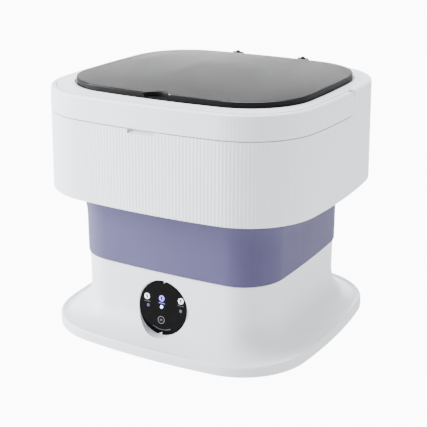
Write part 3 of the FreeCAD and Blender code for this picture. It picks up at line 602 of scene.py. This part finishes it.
def flare_levels(inset, count):
    """Levels up the flare's quarter circle, moved in by a wall's thickness."""
    levels = []
    for i in range(count + 1):
        turn = math.pi / 2 * (1 - i / count)
        share = 1 - (1 + inset / FLARE_R) * math.cos(turn)
        levels.append(level(mixed(DRUM, VALLEY_LINE, share),
                            FLARE_TOP - (FLARE_R + VALLEY + inset) * math.sin(turn)))
    return levels


def bead_levels(count):
    """Levels down from the flange's raised rim to the valley at the foot of the flare."""
    levels = []
    for i in range(1, count):
        share = i / count
        drop = VALLEY * (1 - math.cos(math.pi * share)) / 2
        levels.append(level(mixed(RIDGE, VALLEY_LINE, share), FLANGE_TOP - drop))
    return levels


outside = [level(FLANGE, base_low.z, -HEM), level(FLANGE, base_low.z + HEM)]
outside += rolled(FLANGE, FLANGE_TOP, EDGE_R, count=6)
outside += bead_levels(5)
outside += flare_levels(0, FLARE_LEVELS)
outside += rolled(DRUM, base_high.z, HEM, count=3)
inside = [level(DRUM, base_high.z, -WALL)] + flare_levels(WALL, 10)[::-1]
inside.append(level(RIDGE, base_low.z))
base_moulding = wall_piece("base_moulding", outside + inside, BASE_STEPS, closed=True)
print("base levels:", len(outside) + len(inside))

# %% [markdown]
# The drain spout and the power socket come out of the rear of the base. Each has a round
# hole, cut with a turned plug that is a little wider than what passes through it.

# %% Holes for the spout and the socket
REAR = Vector((0, 1, 0))
SOCKET_R = 6.5 * MM
SHOULDER = 1.0 * MM
HOLE_GAP = 0.1 * MM
PLUG_IN = 50 * MM
PLUG_L = 80 * MM
rear_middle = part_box("power_socket")[0].z + SOCKET_R
for node, step_in in (("drain_spout", SHOULDER), ("power_socket", 0.0)):
    low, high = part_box(node)
    radius = (high.x - low.x) / 2 - step_in + HOLE_GAP
    profile = [(0, 0), (radius, 0), (radius, PLUG_L), (0, PLUG_L)]
    place = ((low.x + high.x) / 2, high.y - PLUG_IN, rear_middle)
    carve(base_moulding, turned_piece("rear_hole", profile, place, REAR, 48))
print("faces with both holes:", len(base_moulding.data.polygons))

# %% [markdown]
# The round control panel leans back in a bored pocket. Where the flare rises round it, the
# pocket shows a grey wall below the panel. Boring alone would leave a raw slot through the
# thin wall, so the pocket's cup is added to the moulding first and then bored out, and a
# ledge is left for the lens.

# %% Pocket of the control panel
lens_low, lens_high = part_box("panel_lens")
TILT = math.radians(9.2)
PANEL_R = (lens_high.x - lens_low.x) / 2
LENS_T = 2.5 * MM
PANEL_OUT = Vector((0, -math.cos(TILT), math.sin(TILT)))
PANEL_UP = Vector((0, math.sin(TILT), math.cos(TILT)))
PANEL_H = 45.0 * MM
PANEL_PROUD = 0.2 * MM
PANEL_MIDDLE = Vector((0, -DRUM[1] - PANEL_PROUD, base_low.z + PANEL_H))
POCKET_R = PANEL_R + 1.6 * MM
POCKET_DEEP = 10.0 * MM
LEDGE = 3.6 * MM
CUP_OUT = 60 * MM
BORE_OUT = 80 * MM
SHY = 0.5 * MM
PANEL_SIDES = 96


def panel_tool(radius, back, front):
    """A cylinder on the panel's axis, from a depth behind its face to a reach in front."""
    profile = [(0, back), (radius, back), (radius, front), (0, front)]
    return turned_piece("panel_tool", profile, PANEL_MIDDLE, PANEL_OUT, PANEL_SIDES)


cup = panel_tool(POCKET_R + WALL, -POCKET_DEEP - WALL, CUP_OUT)
shy = [level(shape, z, grow - SHY) for shape, z, grow, _, _ in outside]
solid_base = wall_piece("solid_base", shy, BASE_STEPS)
carve(cup, solid_base, "INTERSECT")
carve(base_moulding, cup, "UNION")
carve(base_moulding, panel_tool(POCKET_R, -LENS_T, BORE_OUT))
carve(base_moulding, panel_tool(POCKET_R - LEDGE, -POCKET_DEEP, 0))
hang(base_moulding, "base", "white_plastic", base_white, "base_housing")

# %% [markdown]
# The panel itself is a glossy lens in a thin ring. Two small nibs of the ring reach over
# the lens at the top and bottom. Both are turned from a profile, because a bevelled
# cylinder would round its rear edge too. The lens has a lip that laps over the ring, so
# only a thin white line of the ring shows.

# %% Panel lens and ring
MARK_T = 0.12 * MM


def on_panel(u, v, out=0.0):
    """Matrix of a place on the lens: u to the right, v up the lens, out from its face."""
    across = Vector((1, 0, 0))
    turn = Matrix((across, PANEL_UP, PANEL_OUT)).transposed().to_4x4()
    return Matrix.Translation(PANEL_MIDDLE) @ turn @ Matrix.Translation((u, v, out))


def round_over(radius, height, edge, count=4):
    """Profile points of a rounded outer edge, from the side wall over to the top."""
    points = []
    for i in range(count + 1):
        turn = math.pi / 2 * i / count
        points.append((radius - edge + edge * math.cos(turn), height - edge + edge * math.sin(turn)))
    return points


LENS_LIP = 0.9 * MM
LENS_LIP_T = 0.9 * MM
LENS_EDGE = 0.3 * MM
front_r = PANEL_R + LENS_LIP
lens_profile = [(0, -LENS_T), (PANEL_R, -LENS_T), (PANEL_R, -LENS_LIP_T), (front_r, -LENS_LIP_T)]
lens_profile += round_over(front_r, 0, LENS_EDGE) + [(0, 0)]
lens = turned_piece("lens", lens_profile, PANEL_MIDDLE, PANEL_OUT, PANEL_SIDES)
hang(lens, "base", "panel_gloss", panel_black, "panel_lens")

# %% Ring of the lens
SLIP = 0.05 * MM
RING_RISE = 0.4 * MM
RING_STEP_Z = 0.2 * MM
NIB_IN = 0.2 * MM
NIB_Z = 0.25 * MM
NIB_T = 0.5 * MM
NIB_LOW_R = 2.6 * MM
NIB_TOP_R = 2.2 * MM
ring_in = PANEL_R + SLIP
ring_out = POCKET_R - SLIP
seat = -LENS_LIP_T - SLIP
step_r = front_r + SLIP
ring_profile = [(step_r, RING_STEP_Z), (step_r, seat), (ring_in, seat), (ring_in, -LENS_T)]
ring_profile += [(ring_out, -LENS_T)] + round_over(ring_out, RING_RISE, LENS_EDGE)
ring_profile.append((step_r, RING_STEP_Z))
bm = bmesh.new()
turned(bm, ring_profile, PANEL_MIDDLE, PANEL_OUT, PANEL_SIDES)
for side in (-1, 1):
    place = on_panel(0, side * (PANEL_R - NIB_IN), NIB_Z)
    aim = Matrix.Rotation(side * math.pi / 2 + math.pi, 4, "Z")
    bmesh.ops.create_cone(bm, cap_ends=True, segments=3, radius1=NIB_LOW_R, radius2=NIB_TOP_R,
                          depth=NIB_T, matrix=place @ aim)
hang(piece("lens_ring", bm), "base", "trim_white", ring_white, "panel_ring")

# %% [markdown]
# The lens carries plain marks only: three round keys with a light below each, a start key,
# and rows of small dashes in place of print. They could be painted by a mask in the lens's
# material, but thin raised shapes stay sharp from close by and each can glow by itself.
# Their places are in millimetres from the middle of the lens.

# %% Marks on the lens
KEY_R = 3.5 * MM
KEYS = ((-21.9, 9.1), (-2.6, 10.2), (22.1, 12.0))
LIGHTS = ((-19.6, -0.8), (-2.0, 0.5), (23.0, 0.7))
LIGHT_R = 1.9 * MM
START_U = -1.3
START_V = -14.6
START_IN = 3.7 * MM
START_OUT = 4.5 * MM
START_BARS = ((-1.1, 1.0), (0.3, 0.5), (1.3, 0.5))
BAR_TALL = 2.2 * MM
BOTTOM_ROW = 16
BOTTOM_R = 25.5 * MM
BOTTOM_SPAN = 0.9


def disc(bm, u, v, radius, lift=0.0, sides=32):
    bmesh.ops.create_cone(bm, cap_ends=True, segments=sides, radius1=radius, radius2=radius,
                          depth=MARK_T, matrix=on_panel(u, v, lift))


def dash(bm, u, v, width, height, lean=0.0):
    size = Matrix.Diagonal((width, height, MARK_T, 1))
    turn = Matrix.Rotation(lean, 4, "Z")
    bmesh.ops.create_cube(bm, size=1, matrix=on_panel(u, v) @ turn @ size)


def dash_row(bm, u, v, count, pitch, rng):
    """A short row of small strokes of uneven height, like very small print."""
    for i in range(count):
        tall = rng.uniform(0.7, 1.2) * MM
        dash(bm, u + (i - (count - 1) / 2) * pitch, v, pitch * 0.55, tall)


# %% Draw the marks
rng = random.Random(11)
white_marks = bmesh.new()
lit_marks = bmesh.new()
bright_marks = bmesh.new()
dim_marks = bmesh.new()
grey_marks = bmesh.new()
dark_marks = bmesh.new()
for index, (u, v) in enumerate(KEYS):
    lit = index == 1
    disc(lit_marks if lit else white_marks, u * MM, v * MM, KEY_R)
    disc(dark_marks, (u - 0.3) * MM, (v + 0.8) * MM, 1.2 * MM, MARK_T)
    disc(dark_marks, (u + 0.3) * MM, (v - 1.0) * MM, 1.0 * MM, MARK_T)
    dash_row(lit_marks if lit else grey_marks, (u + 0.6) * MM, (v - 5.4) * MM, 8, 1.0 * MM, rng)
for index, (u, v) in enumerate(LIGHTS):
    disc(bright_marks if index == 1 else dim_marks, u * MM, v * MM, LIGHT_R)
start = on_panel(START_U * MM, START_V * MM).translation
start_ring = [(START_IN, 0), (START_OUT, 0), (START_OUT, MARK_T), (START_IN, MARK_T), (START_IN, 0)]
turned(grey_marks, start_ring, start, PANEL_OUT, 32)
for away, wide in START_BARS:
    dash(grey_marks, (START_U + away) * MM, START_V * MM, wide * MM, BAR_TALL)
for i in range(BOTTOM_ROW):
    turn = (i / (BOTTOM_ROW - 1) - 0.5) * BOTTOM_SPAN
    dash(grey_marks, BOTTOM_R * math.sin(turn), -BOTTOM_R * math.cos(turn), 0.7 * MM,
         rng.uniform(0.8, 1.4) * MM, turn)
for name, bm, finish in (("key_faces", white_marks, mark_white), ("key_lit", lit_marks, mark_lit),
                         ("light_on", bright_marks, mark_bright), ("lights_off", dim_marks, mark_dim),
                         ("small_print", grey_marks, mark_grey), ("key_signs", dark_marks, panel_black)):
    hang(piece(name, bm), "base", "panel_gloss", finish)

# %% [markdown]
# The soft wall is a sleeve of silicone between the base and the shell. It is straight
# below and widens to the collar above. When the shell slides down, the real sleeve buckles
# inwards. Here it hangs on the base and keeps its own shape.

# %% Folding wall
wall_low, wall_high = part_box("folding_wall")
SKIN_T = 1.8 * MM
SKIN_IN = 0.1 * MM
COLLAR_GROW = 4.0 * MM
SPREAD_LOW = wall_low.z + 46 * MM
SPREAD_HIGH = SPREAD_LOW + 32 * MM
HEM_R = 1.2 * MM
HEM_H = 1.4 * MM
SLEEVE_LEVELS = 45
skin_low_z = base_high.z + 0.4 * MM
WALL_STEPS = arc_steps(DRUM, 2.5 * MM)


def spread(z):
    """How far the sleeve stands out at a height: smooth from the drum to the collar."""
    share = min(1.0, max(0.0, (z - SPREAD_LOW) / (SPREAD_HIGH - SPREAD_LOW)))
    return COLLAR_GROW * share * share * (3 - 2 * share)


rise = (wall_high.z - skin_low_z - HEM_H) / (SLEEVE_LEVELS - 1)
heights = [skin_low_z + HEM_H + i * rise for i in range(SLEEVE_LEVELS)]
sleeve_out = rolled(DRUM, skin_low_z, HEM_R, SKIN_IN + SKIN_T, top=False)[::-1]
sleeve_out += [level(DRUM, z, SKIN_IN + SKIN_T + spread(z)) for z in heights]
sleeve_in = [level(DRUM, z, SKIN_IN + spread(z)) for z in heights[::-1]]
sleeve_in.append(level(DRUM, skin_low_z, SKIN_IN))
sleeve = wall_piece("sleeve", sleeve_out + sleeve_in, WALL_STEPS, closed=True)
hang(sleeve, "base", "lavender_silicone", lavender_silicone, "folding_wall")
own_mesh(sleeve)

# %% [markdown]
# The upper shell is covered in fine upright grooves. A bump map would not show on its
# outline, and would not be in the mesh itself. So of every six vertices of an
# outline one is pulled in by a fraction of a millimetre and its neighbours by less, and
# the grooves fade out over the rolled top edge. The skin runs from the bottom edge up the
# outside, over the rim, down the seat of the lid and the mouth, and back down the inside.

# %% Upper shell
shell_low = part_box("upper_shell")[0]
SHELL_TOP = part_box("lid_frame")[0].z + 1.0 * MM
DRAFT = 2.0 * MM
SHELL_WALL = 2.8 * MM
RIM_R = 3.0 * MM
RIM_T = 5.0 * MM
SEAT_D = 2.0 * MM
LID_BACK = (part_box("lid_panel")[0].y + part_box("lid_panel")[1].y) / 2
MOUTH = -5.1 * MM
LID_GAP = 1.2 * MM
THICK = -9.6 * MM
GROOVE = (1.0, 0.35, 0.0, 0.0, 0.0, 0.35)
GROOVE_PITCH = 4.0 * MM
GROOVE_D = 0.3 * MM
SHELL_STEPS = arc_steps(SHELL, GROOVE_PITCH / len(GROOVE), len(GROOVE))


def drafted(z):
    """The shell leans in a little towards its top."""
    return -DRAFT * (z - shell_low.z) / (SHELL_TOP - shell_low.z)


# %% Places of the handle in the shell
handle_low, handle_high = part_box("carry_handle")
HANDLE_T = 6.0 * MM
PIVOT_R = (handle_high.z - handle_low.z) / 2
PIVOT = Vector((0, handle_high.y - PIVOT_R, handle_low.z + PIVOT_R))
CLEAR = 0.8 * MM
RECESS_Z = handle_low.z - CLEAR
FINGER_H = 5.0 * MM
FINGER_Z = RECESS_Z - FINGER_H
thick_z = FINGER_Z - SHELL_WALL
rim_z = SHELL_TOP - RIM_T
seat_z = SHELL_TOP - SEAT_D
lip = 0.5 * MM
print("handle pivot, mm:", [round(v / MM, 1) for v in PIVOT])

# %% Skin of the shell
SHELL_HEM = 1.0 * MM
skin = rolled(SHELL, shell_low.z, SHELL_HEM, depth=GROOVE_D, top=False)[::-1]
skin += rolled(SHELL, SHELL_TOP, RIM_R, drafted(SHELL_TOP - RIM_R), depth=GROOVE_D, count=6)
skin += rolled(LID, SHELL_TOP, lip, LID_GAP, LID_BACK, count=2, hollow=True)[::-1]
skin.append(level(LID, seat_z, LID_GAP, LID_BACK))
skin += rolled(DRUM, seat_z, lip, MOUTH, count=2, hollow=True)[::-1]
skin.append(level(DRUM, rim_z, MOUTH))
skin.append(level(SHELL, rim_z, THICK + drafted(rim_z)))
skin.append(level(SHELL, thick_z, THICK + drafted(thick_z)))
skin.append(level(SHELL, thick_z, -SHELL_WALL + drafted(thick_z)))
skin.append(level(SHELL, shell_low.z, -SHELL_WALL))
shell = wall_piece("shell", skin, SHELL_STEPS, closed=True, flute=GROOVE)
print("grooves round the shell:", sum(SHELL_STEPS) // len(GROOVE))

# %% [markdown]
# The handle lies in a channel that is cut into the shell. Seen from the side, both are
# stadiums: straight below, with a round end about the pivot. A straight cutter would leave
# the channel deep at the corners and shallow at the sides, so the shell is cut with a thin
# ring that follows its wall, limited by that side view.

# %% Side views and bands
FAR = 1.0


def prism(bm, points, left, right):
    """A side-view outline, (y, z) points, stretched across from left to right."""
    verts = [bm.verts.new((left, y, z)) for y, z in points]
    face = bm.faces.new(verts)
    grown = bmesh.ops.extrude_face_region(bm, geom=[face])
    bmesh.ops.translate(bm, verts=verts_in(grown["geom"]), vec=(right - left, 0, 0))
    bmesh.ops.recalc_face_normals(bm, faces=bm.faces)


def stadium(radius, top, relieved, count=20):
    """Side view of the handle or its recess, open towards the front."""
    points = [(-FAR, PIVOT.z - radius)]
    last = 0 if relieved else math.pi / 2
    for i in range(count + 1):
        turn = -math.pi / 2 + (last + math.pi / 2) * i / count
        points.append((PIVOT.y + radius * math.cos(turn), PIVOT.z + radius * math.sin(turn)))
    if relieved:
        points.append((PIVOT.y + radius, top))
    points.append((-FAR, top))
    return points


def wall_band(name, low, high, outer, inner):
    """A plain ring that follows the shell's wall, between two offsets."""
    levels = [level(SHELL, z, offset + drafted(z))
              for z, offset in ((low, outer), (high, outer), (high, inner), (low, inner))]
    return wall_piece(name, levels, BAND_STEPS, closed=True)


BAND_STEPS = arc_steps(SHELL, 2.0 * MM)
print("side view points:", len(stadium(PIVOT_R, SHELL_TOP, False)))

# %% Handle channel
CHANNEL_D = HANDLE_T + CLEAR
BAND_LOW = FINGER_Z - 2 * MM
BAND_HIGH = SHELL_TOP + 4 * MM
BAND_OUT = 6 * MM
VIEW_TOP = SHELL_TOP + 3 * MM
channel = wall_band("channel", BAND_LOW, BAND_HIGH, BAND_OUT, -CHANNEL_D)
side_view = bmesh.new()
prism(side_view, stadium(PIVOT_R + CLEAR, VIEW_TOP, True), -FAR, FAR)
carve(channel, piece("side_view", side_view), "INTERSECT")
carve(shell, channel)
print("faces with the channel:", len(shell.data.polygons))

# %% [markdown]
# A short recess opens under the front of the handle for the fingertips. Its floor slopes
# up inwards, so that it reads as a scoop and not as a slot, and its lower corners are
# round. It is one more length of the same ring, kept where a sloped side view and a
# rounded front view overlap.

# %% Finger recess
FINGER_W = 35.0 * MM
FINGER_R = 2.4 * MM
FINGER_TURNS = 6
wall_y = -SHELL[1] - drafted(FINGER_Z)
inner_y = wall_y + CHANNEL_D
over_z = RECESS_Z + 1 * MM
slope_points = [(-FAR, FINGER_Z - 1 * MM), (wall_y, FINGER_Z + 0.3 * MM),
                (inner_y, RECESS_Z - 0.6 * MM), (inner_y + 2 * MM, over_z), (-FAR, over_z)]
finger_slope = bmesh.new()
prism(finger_slope, slope_points, -FAR, FAR)
finger = wall_band("finger", BAND_LOW, BAND_HIGH, BAND_OUT, -CHANNEL_D)
carve(finger, piece("finger_slope", finger_slope), "INTERSECT")

top_z = RECESS_Z + 0.4 * MM
front_points = [(-FINGER_W / 2, top_z)]
for side, start_angle in ((-1, -180), (1, -90)):
    for i in range(FINGER_TURNS + 1):
        turn = math.radians(start_angle + 90 * i / FINGER_TURNS)
        front_points.append((side * (FINGER_W / 2 - FINGER_R) + FINGER_R * math.cos(turn),
                             FINGER_Z + FINGER_R + FINGER_R * math.sin(turn)))
front_points.append((FINGER_W / 2, top_z))
front_view = bmesh.new()
verts = [front_view.verts.new((x, -FAR, z)) for x, z in front_points]
grown = bmesh.ops.extrude_face_region(front_view, geom=[front_view.faces.new(verts)])
bmesh.ops.translate(front_view, verts=verts_in(grown["geom"]), vec=(0, FAR, 0))
bmesh.ops.recalc_face_normals(front_view, faces=front_view.faces)
carve(finger, piece("front_view", front_view), "INTERSECT")
carve(shell, finger)
hang(shell, "upper_shell", "white_plastic", shell_white, "upper_shell")

# %% [markdown]
# Four small ears stand on the rear of the rim, two beside each arm of the lid, and hold its
# pins. Each is a short arch: the side view of the ear, stretched to the ear's width.

# %% Hinge ears
HINGE_X = 45.0 * MM
EAR_W = 3.0 * MM
pin_low, pin_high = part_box("hinge_pins")
hinge = (pin_low + pin_high) / 2
EAR_R = 2.4 * MM
EAR_IN = 3.8 * MM
EAR_SUNK = 1 * MM
ear_points = [(hinge.y + EAR_R, SHELL_TOP - EAR_SUNK)]
for angle in range(0, 181, 15):
    turn = math.radians(angle)
    ear_points.append((hinge.y + EAR_R * math.cos(turn), hinge.z + EAR_R * math.sin(turn)))
ear_points.append((hinge.y - EAR_R, SHELL_TOP - EAR_SUNK))
ears = bmesh.new()
for side in (-1, 1):
    for away in (-1, 1):
        ends = sorted((side * HINGE_X + away * EAR_IN, side * HINGE_X + away * (EAR_IN + EAR_W)))
        prism(ears, ear_points, ends[0], ends[1])
hang(piece("ears", ears), "upper_shell", "black_plastic", satin_black)

# %% [markdown]
# The handle is a bail that follows the shell's own outside, so it all but disappears when
# it lies down. It could be cut off the shell itself, but it needs its own rolled edges, so
# it is a ring of its own along the same outline, kept where its side view is. It keeps the
# grooves, much fainter.

# %% Carry handle
FAINT_D = 0.1 * MM
BAR_EDGE = 0.8 * MM
BAR_CROWN = 2.4 * MM
bar_in = -HANDLE_T
low_z = handle_low.z
bar = rolled(SHELL, low_z, BAR_EDGE, drafted(low_z), depth=FAINT_D, top=False)[::-1]
bar += rolled(SHELL, SHELL_TOP, RIM_R, drafted(SHELL_TOP - RIM_R), depth=FAINT_D, count=6)[:-1]
bar.append(level(SHELL, handle_high.z, drafted(SHELL_TOP) - BAR_CROWN))
bar += rolled(SHELL, handle_high.z, lip, bar_in + drafted(handle_high.z), count=2, hollow=True)[::-1]
bar += rolled(SHELL, low_z, lip, bar_in + drafted(low_z), count=2, top=False, hollow=True)
handle = wall_piece("handle", bar, SHELL_STEPS, closed=True, flute=GROOVE)
side_view = bmesh.new()
prism(side_view, stadium(PIVOT_R, VIEW_TOP, False), -FAR, FAR)
carve(handle, piece("side_view", side_view), "INTERSECT")
hang(handle, "carry_handle", "handle_white", shell_white, "carry_handle")

# %% [markdown]
# The lid is a smoked sheet with a rounded top edge. A finger notch is scooped out of the
# middle of its front edge. A plain cylinder would leave the notch with a sharp rim, so its
# cutter is turned with the same rounding, and the notch catches the light as an arch. Cut
# edges of smoked plastic look black, so the faces of the edge get the black surface. The
# frame under the sheet is already right, so it stays as it is.

# %% Lid sheet
sheet_low, sheet_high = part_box("lid_panel")
LID_STEPS = arc_steps(LID, 2.5 * MM)
SHEET_R = 1.4 * MM
UNDER_R = 0.4 * MM
sheet = rolled(LID, sheet_low.z, UNDER_R, 0, LID_BACK, count=2, top=False)[::-1]
sheet += rolled(LID, sheet_high.z, SHEET_R, 0, LID_BACK, count=6)
lid_sheet = wall_piece("lid_sheet", sheet, LID_STEPS)
print("lid outline points:", sum(LID_STEPS))

# %% Finger notch
NOTCH_R = 16.7 * MM
NOTCH_D = 11.0 * MM
reach_up = 4 * MM
notch_profile = [(0, -reach_up), (NOTCH_R, -reach_up)]
for i in range(7):
    turn = math.pi / 2 * i / 6
    side = NOTCH_R + SHEET_R * (1 - math.cos(turn))
    notch_profile.append((side, sheet_high.z - sheet_low.z - SHEET_R * (1 - math.sin(turn))))
notch_profile += [(NOTCH_R + SHEET_R + 0.1 * MM, 2 * reach_up), (0, 2 * reach_up)]
notch_place = (0, sheet_low.y + NOTCH_D - NOTCH_R, sheet_low.z)
carve(lid_sheet, turned_piece("notch", notch_profile, notch_place, segments=96))
hang(lid_sheet, "lid", "smoked_lid", smoked_lid, "lid_panel")
lid_sheet.data.materials.append(satin_black)
EDGE_FACES = 0.6
for face in lid_sheet.data.polygons:
    face.material_index = int(face.normal.z < EDGE_FACES)

# %% [markdown]
# A round black knob tops each hinge arm of the lid. It rides on the lid, so it turns with
# it. A sphere that is a little wider than tall is enough.

# %% Hinge knobs
KNOB_R = 2.7 * MM
KNOB_WIDE = 1.2
KNOB_FORWARD = 0.4 * MM
KNOB_RISE = 1.5 * MM
knobs = bmesh.new()
for side in (-1, 1):
    place = Matrix.Translation((side * HINGE_X, hinge.y - KNOB_FORWARD, hinge.z + KNOB_RISE))
    bmesh.ops.create_uvsphere(knobs, u_segments=32, v_segments=16, radius=KNOB_R,
                              matrix=place @ Matrix.Diagonal((KNOB_WIDE, 1, 1, 1)))
hang(piece("knobs", knobs), "lid", "black_plastic", satin_black)

# %% [markdown]
# Inside the tub, the pulsator is a low dome with rounded fins. Fins that are added as
# blocks would meet the dome in hard lines, which wear on cloth. So the dome is turned
# first, and then the vertices of its upper side are lifted smoothly into the fins.

# %% Pulsator
dish_low, dish_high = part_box("pulsator")
DISH_R = (dish_high.x - dish_low.x) / 2
z0 = dish_low.z
DOME_IN = 20 * MM
DOME_OUT = 74 * MM
DOME_LOW = z0 + 3 * MM
DOME_RISE = 14 * MM
DOME_LEVELS = 24
SHAFT_HOLE = 4.05 * MM
HUB_R = 14 * MM
HUB_H = 11 * MM
HOLLOW_IN = 17 * MM
HOLLOW_OUT = 71 * MM
CAP_R = 12.1 * MM
CAP_EDGE = 0.5 * MM
CAP_DEEP = 2 * MM
dome = []
for i in range(DOME_LEVELS + 1):
    share = i / DOME_LEVELS
    dome.append((DOME_OUT - (DOME_OUT - DOME_IN) * share, DOME_LOW + DOME_RISE * share))
dome_top = dome[-1][1]
profile = [(SHAFT_HOLE, z0), (HUB_R, z0), (HUB_R, z0 + HUB_H),
           (HOLLOW_IN, z0 + DOME_RISE), (HOLLOW_OUT, z0)]
profile += round_over(DISH_R, DOME_LOW, HEM_R) + dome
profile += [(CAP_R + CAP_EDGE, dome_top), (CAP_R, dome_top - CAP_EDGE),
            (CAP_R, dome_top - CAP_DEEP), (SHAFT_HOLE, dome_top - CAP_DEEP), (SHAFT_HOLE, z0)]
print("dome top, mm:", round(dome_top / MM, 1))

# %% Fins of the pulsator
FIN_COUNT = 6
FIN_RISE = 4.0 * MM
FIN_HALF_W = 7.0 * MM
FIN_FADE_OUT = 8 * MM
FIN_FADE_IN = 10 * MM
bm = bmesh.new()
turned(bm, profile, (0, 0, 0), segments=240)
for vert in bm.verts:
    radius = math.hypot(vert.co.x, vert.co.y)
    on_top = vert.co.z > DOME_LOW - 0.1 * MM and DOME_IN <= radius + 0.1 * MM
    if not on_top or radius > DOME_OUT:
        continue
    angle = math.atan2(vert.co.y, vert.co.x) * FIN_COUNT / (2 * math.pi)
    away = abs(angle - round(angle)) * 2 * math.pi / FIN_COUNT * radius
    across = max(0.0, 1 - away / FIN_HALF_W)
    along = min(1.0, (DOME_OUT - radius) / FIN_FADE_OUT)
    along *= min(1.0, (radius - DOME_IN + 2 * MM) / FIN_FADE_IN)
    vert.co.z += FIN_RISE * across * across * (3 - 2 * across) * max(0.0, along)
hang(piece("dish", bm), "pulsator", "pulsator_plastic", pulsator_grey, "pulsator")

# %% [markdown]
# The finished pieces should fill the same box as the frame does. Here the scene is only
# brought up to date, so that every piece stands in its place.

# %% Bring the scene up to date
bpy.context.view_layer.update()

# %% [markdown]
# The floor is a pale sheet, like the lit table of a studio. Lit by the lamps alone it would
# turn grey towards the rear, and a sheet that is truly as bright as white paper would
# throw too much light up at the washer. So it gives off a little light to everything, and
# far more towards the camera only.

# %% Floor
FLOOR_SIZE = 12.0
bm = bmesh.new()
bmesh.ops.create_grid(bm, x_segments=1, y_segments=1, size=FLOOR_SIZE / 2)
floor = piece("floor", bm)
floor_white, tree, sockets = surface("floor_white", {"Specular IOR Level": 0.1,
                                                     "Emission Strength": 1.0})
floor_tone = noise(tree, 0.8, 2.0)
feed(tree, sockets["Base Color"], blend_colours(tree, grey(0.55), grey(0.50), floor_tone))
feed(tree, sockets["Roughness"], floor_tone * 0.1 + 0.6)
glow = add_node(tree, "ShaderNodeEmission", {}, {"Color": grey(0.98), "Strength": 14.0})
seen = add_node(tree, "ShaderNodeLightPath", {}, {}, "Is Camera Ray")
sheet_shader = Signal(tree, tree.nodes["Principled BSDF"].outputs[0])
lit_sheet = add_node(tree, "ShaderNodeMixShader", {}, {0: seen * 0.8, 1: sheet_shader, 2: glow})
feed(tree, tree.nodes["Material Output"].inputs["Surface"], lit_sheet)
floor.data.materials.append(floor_white)
print("floor:", FLOOR_SIZE, "m wide")

# %% [markdown]
# The room does the same: it is dim to the washer, so that the lamps shape it, and bright
# to the camera, like a sheet of white paper.

# %% Room
ROOM = (0.97, 0.98, 1.0, 1)
world = bpy.data.worlds.new("studio")
world.use_nodes = True
bpy.context.scene.world = world
tree = world.node_tree
tree.nodes.remove(tree.nodes["Background"])
dim = add_node(tree, "ShaderNodeBackground", {}, {"Color": ROOM, "Strength": 0.45})
paper = add_node(tree, "ShaderNodeBackground", {}, {"Color": ROOM, "Strength": 11.0})
seen = add_node(tree, "ShaderNodeLightPath", {}, {}, "Is Camera Ray")
room = add_node(tree, "ShaderNodeMixShader", {}, {0: seen, 1: dim, 2: paper})
feed(tree, tree.nodes["World Output"].inputs["Surface"], room)
print("room ready")
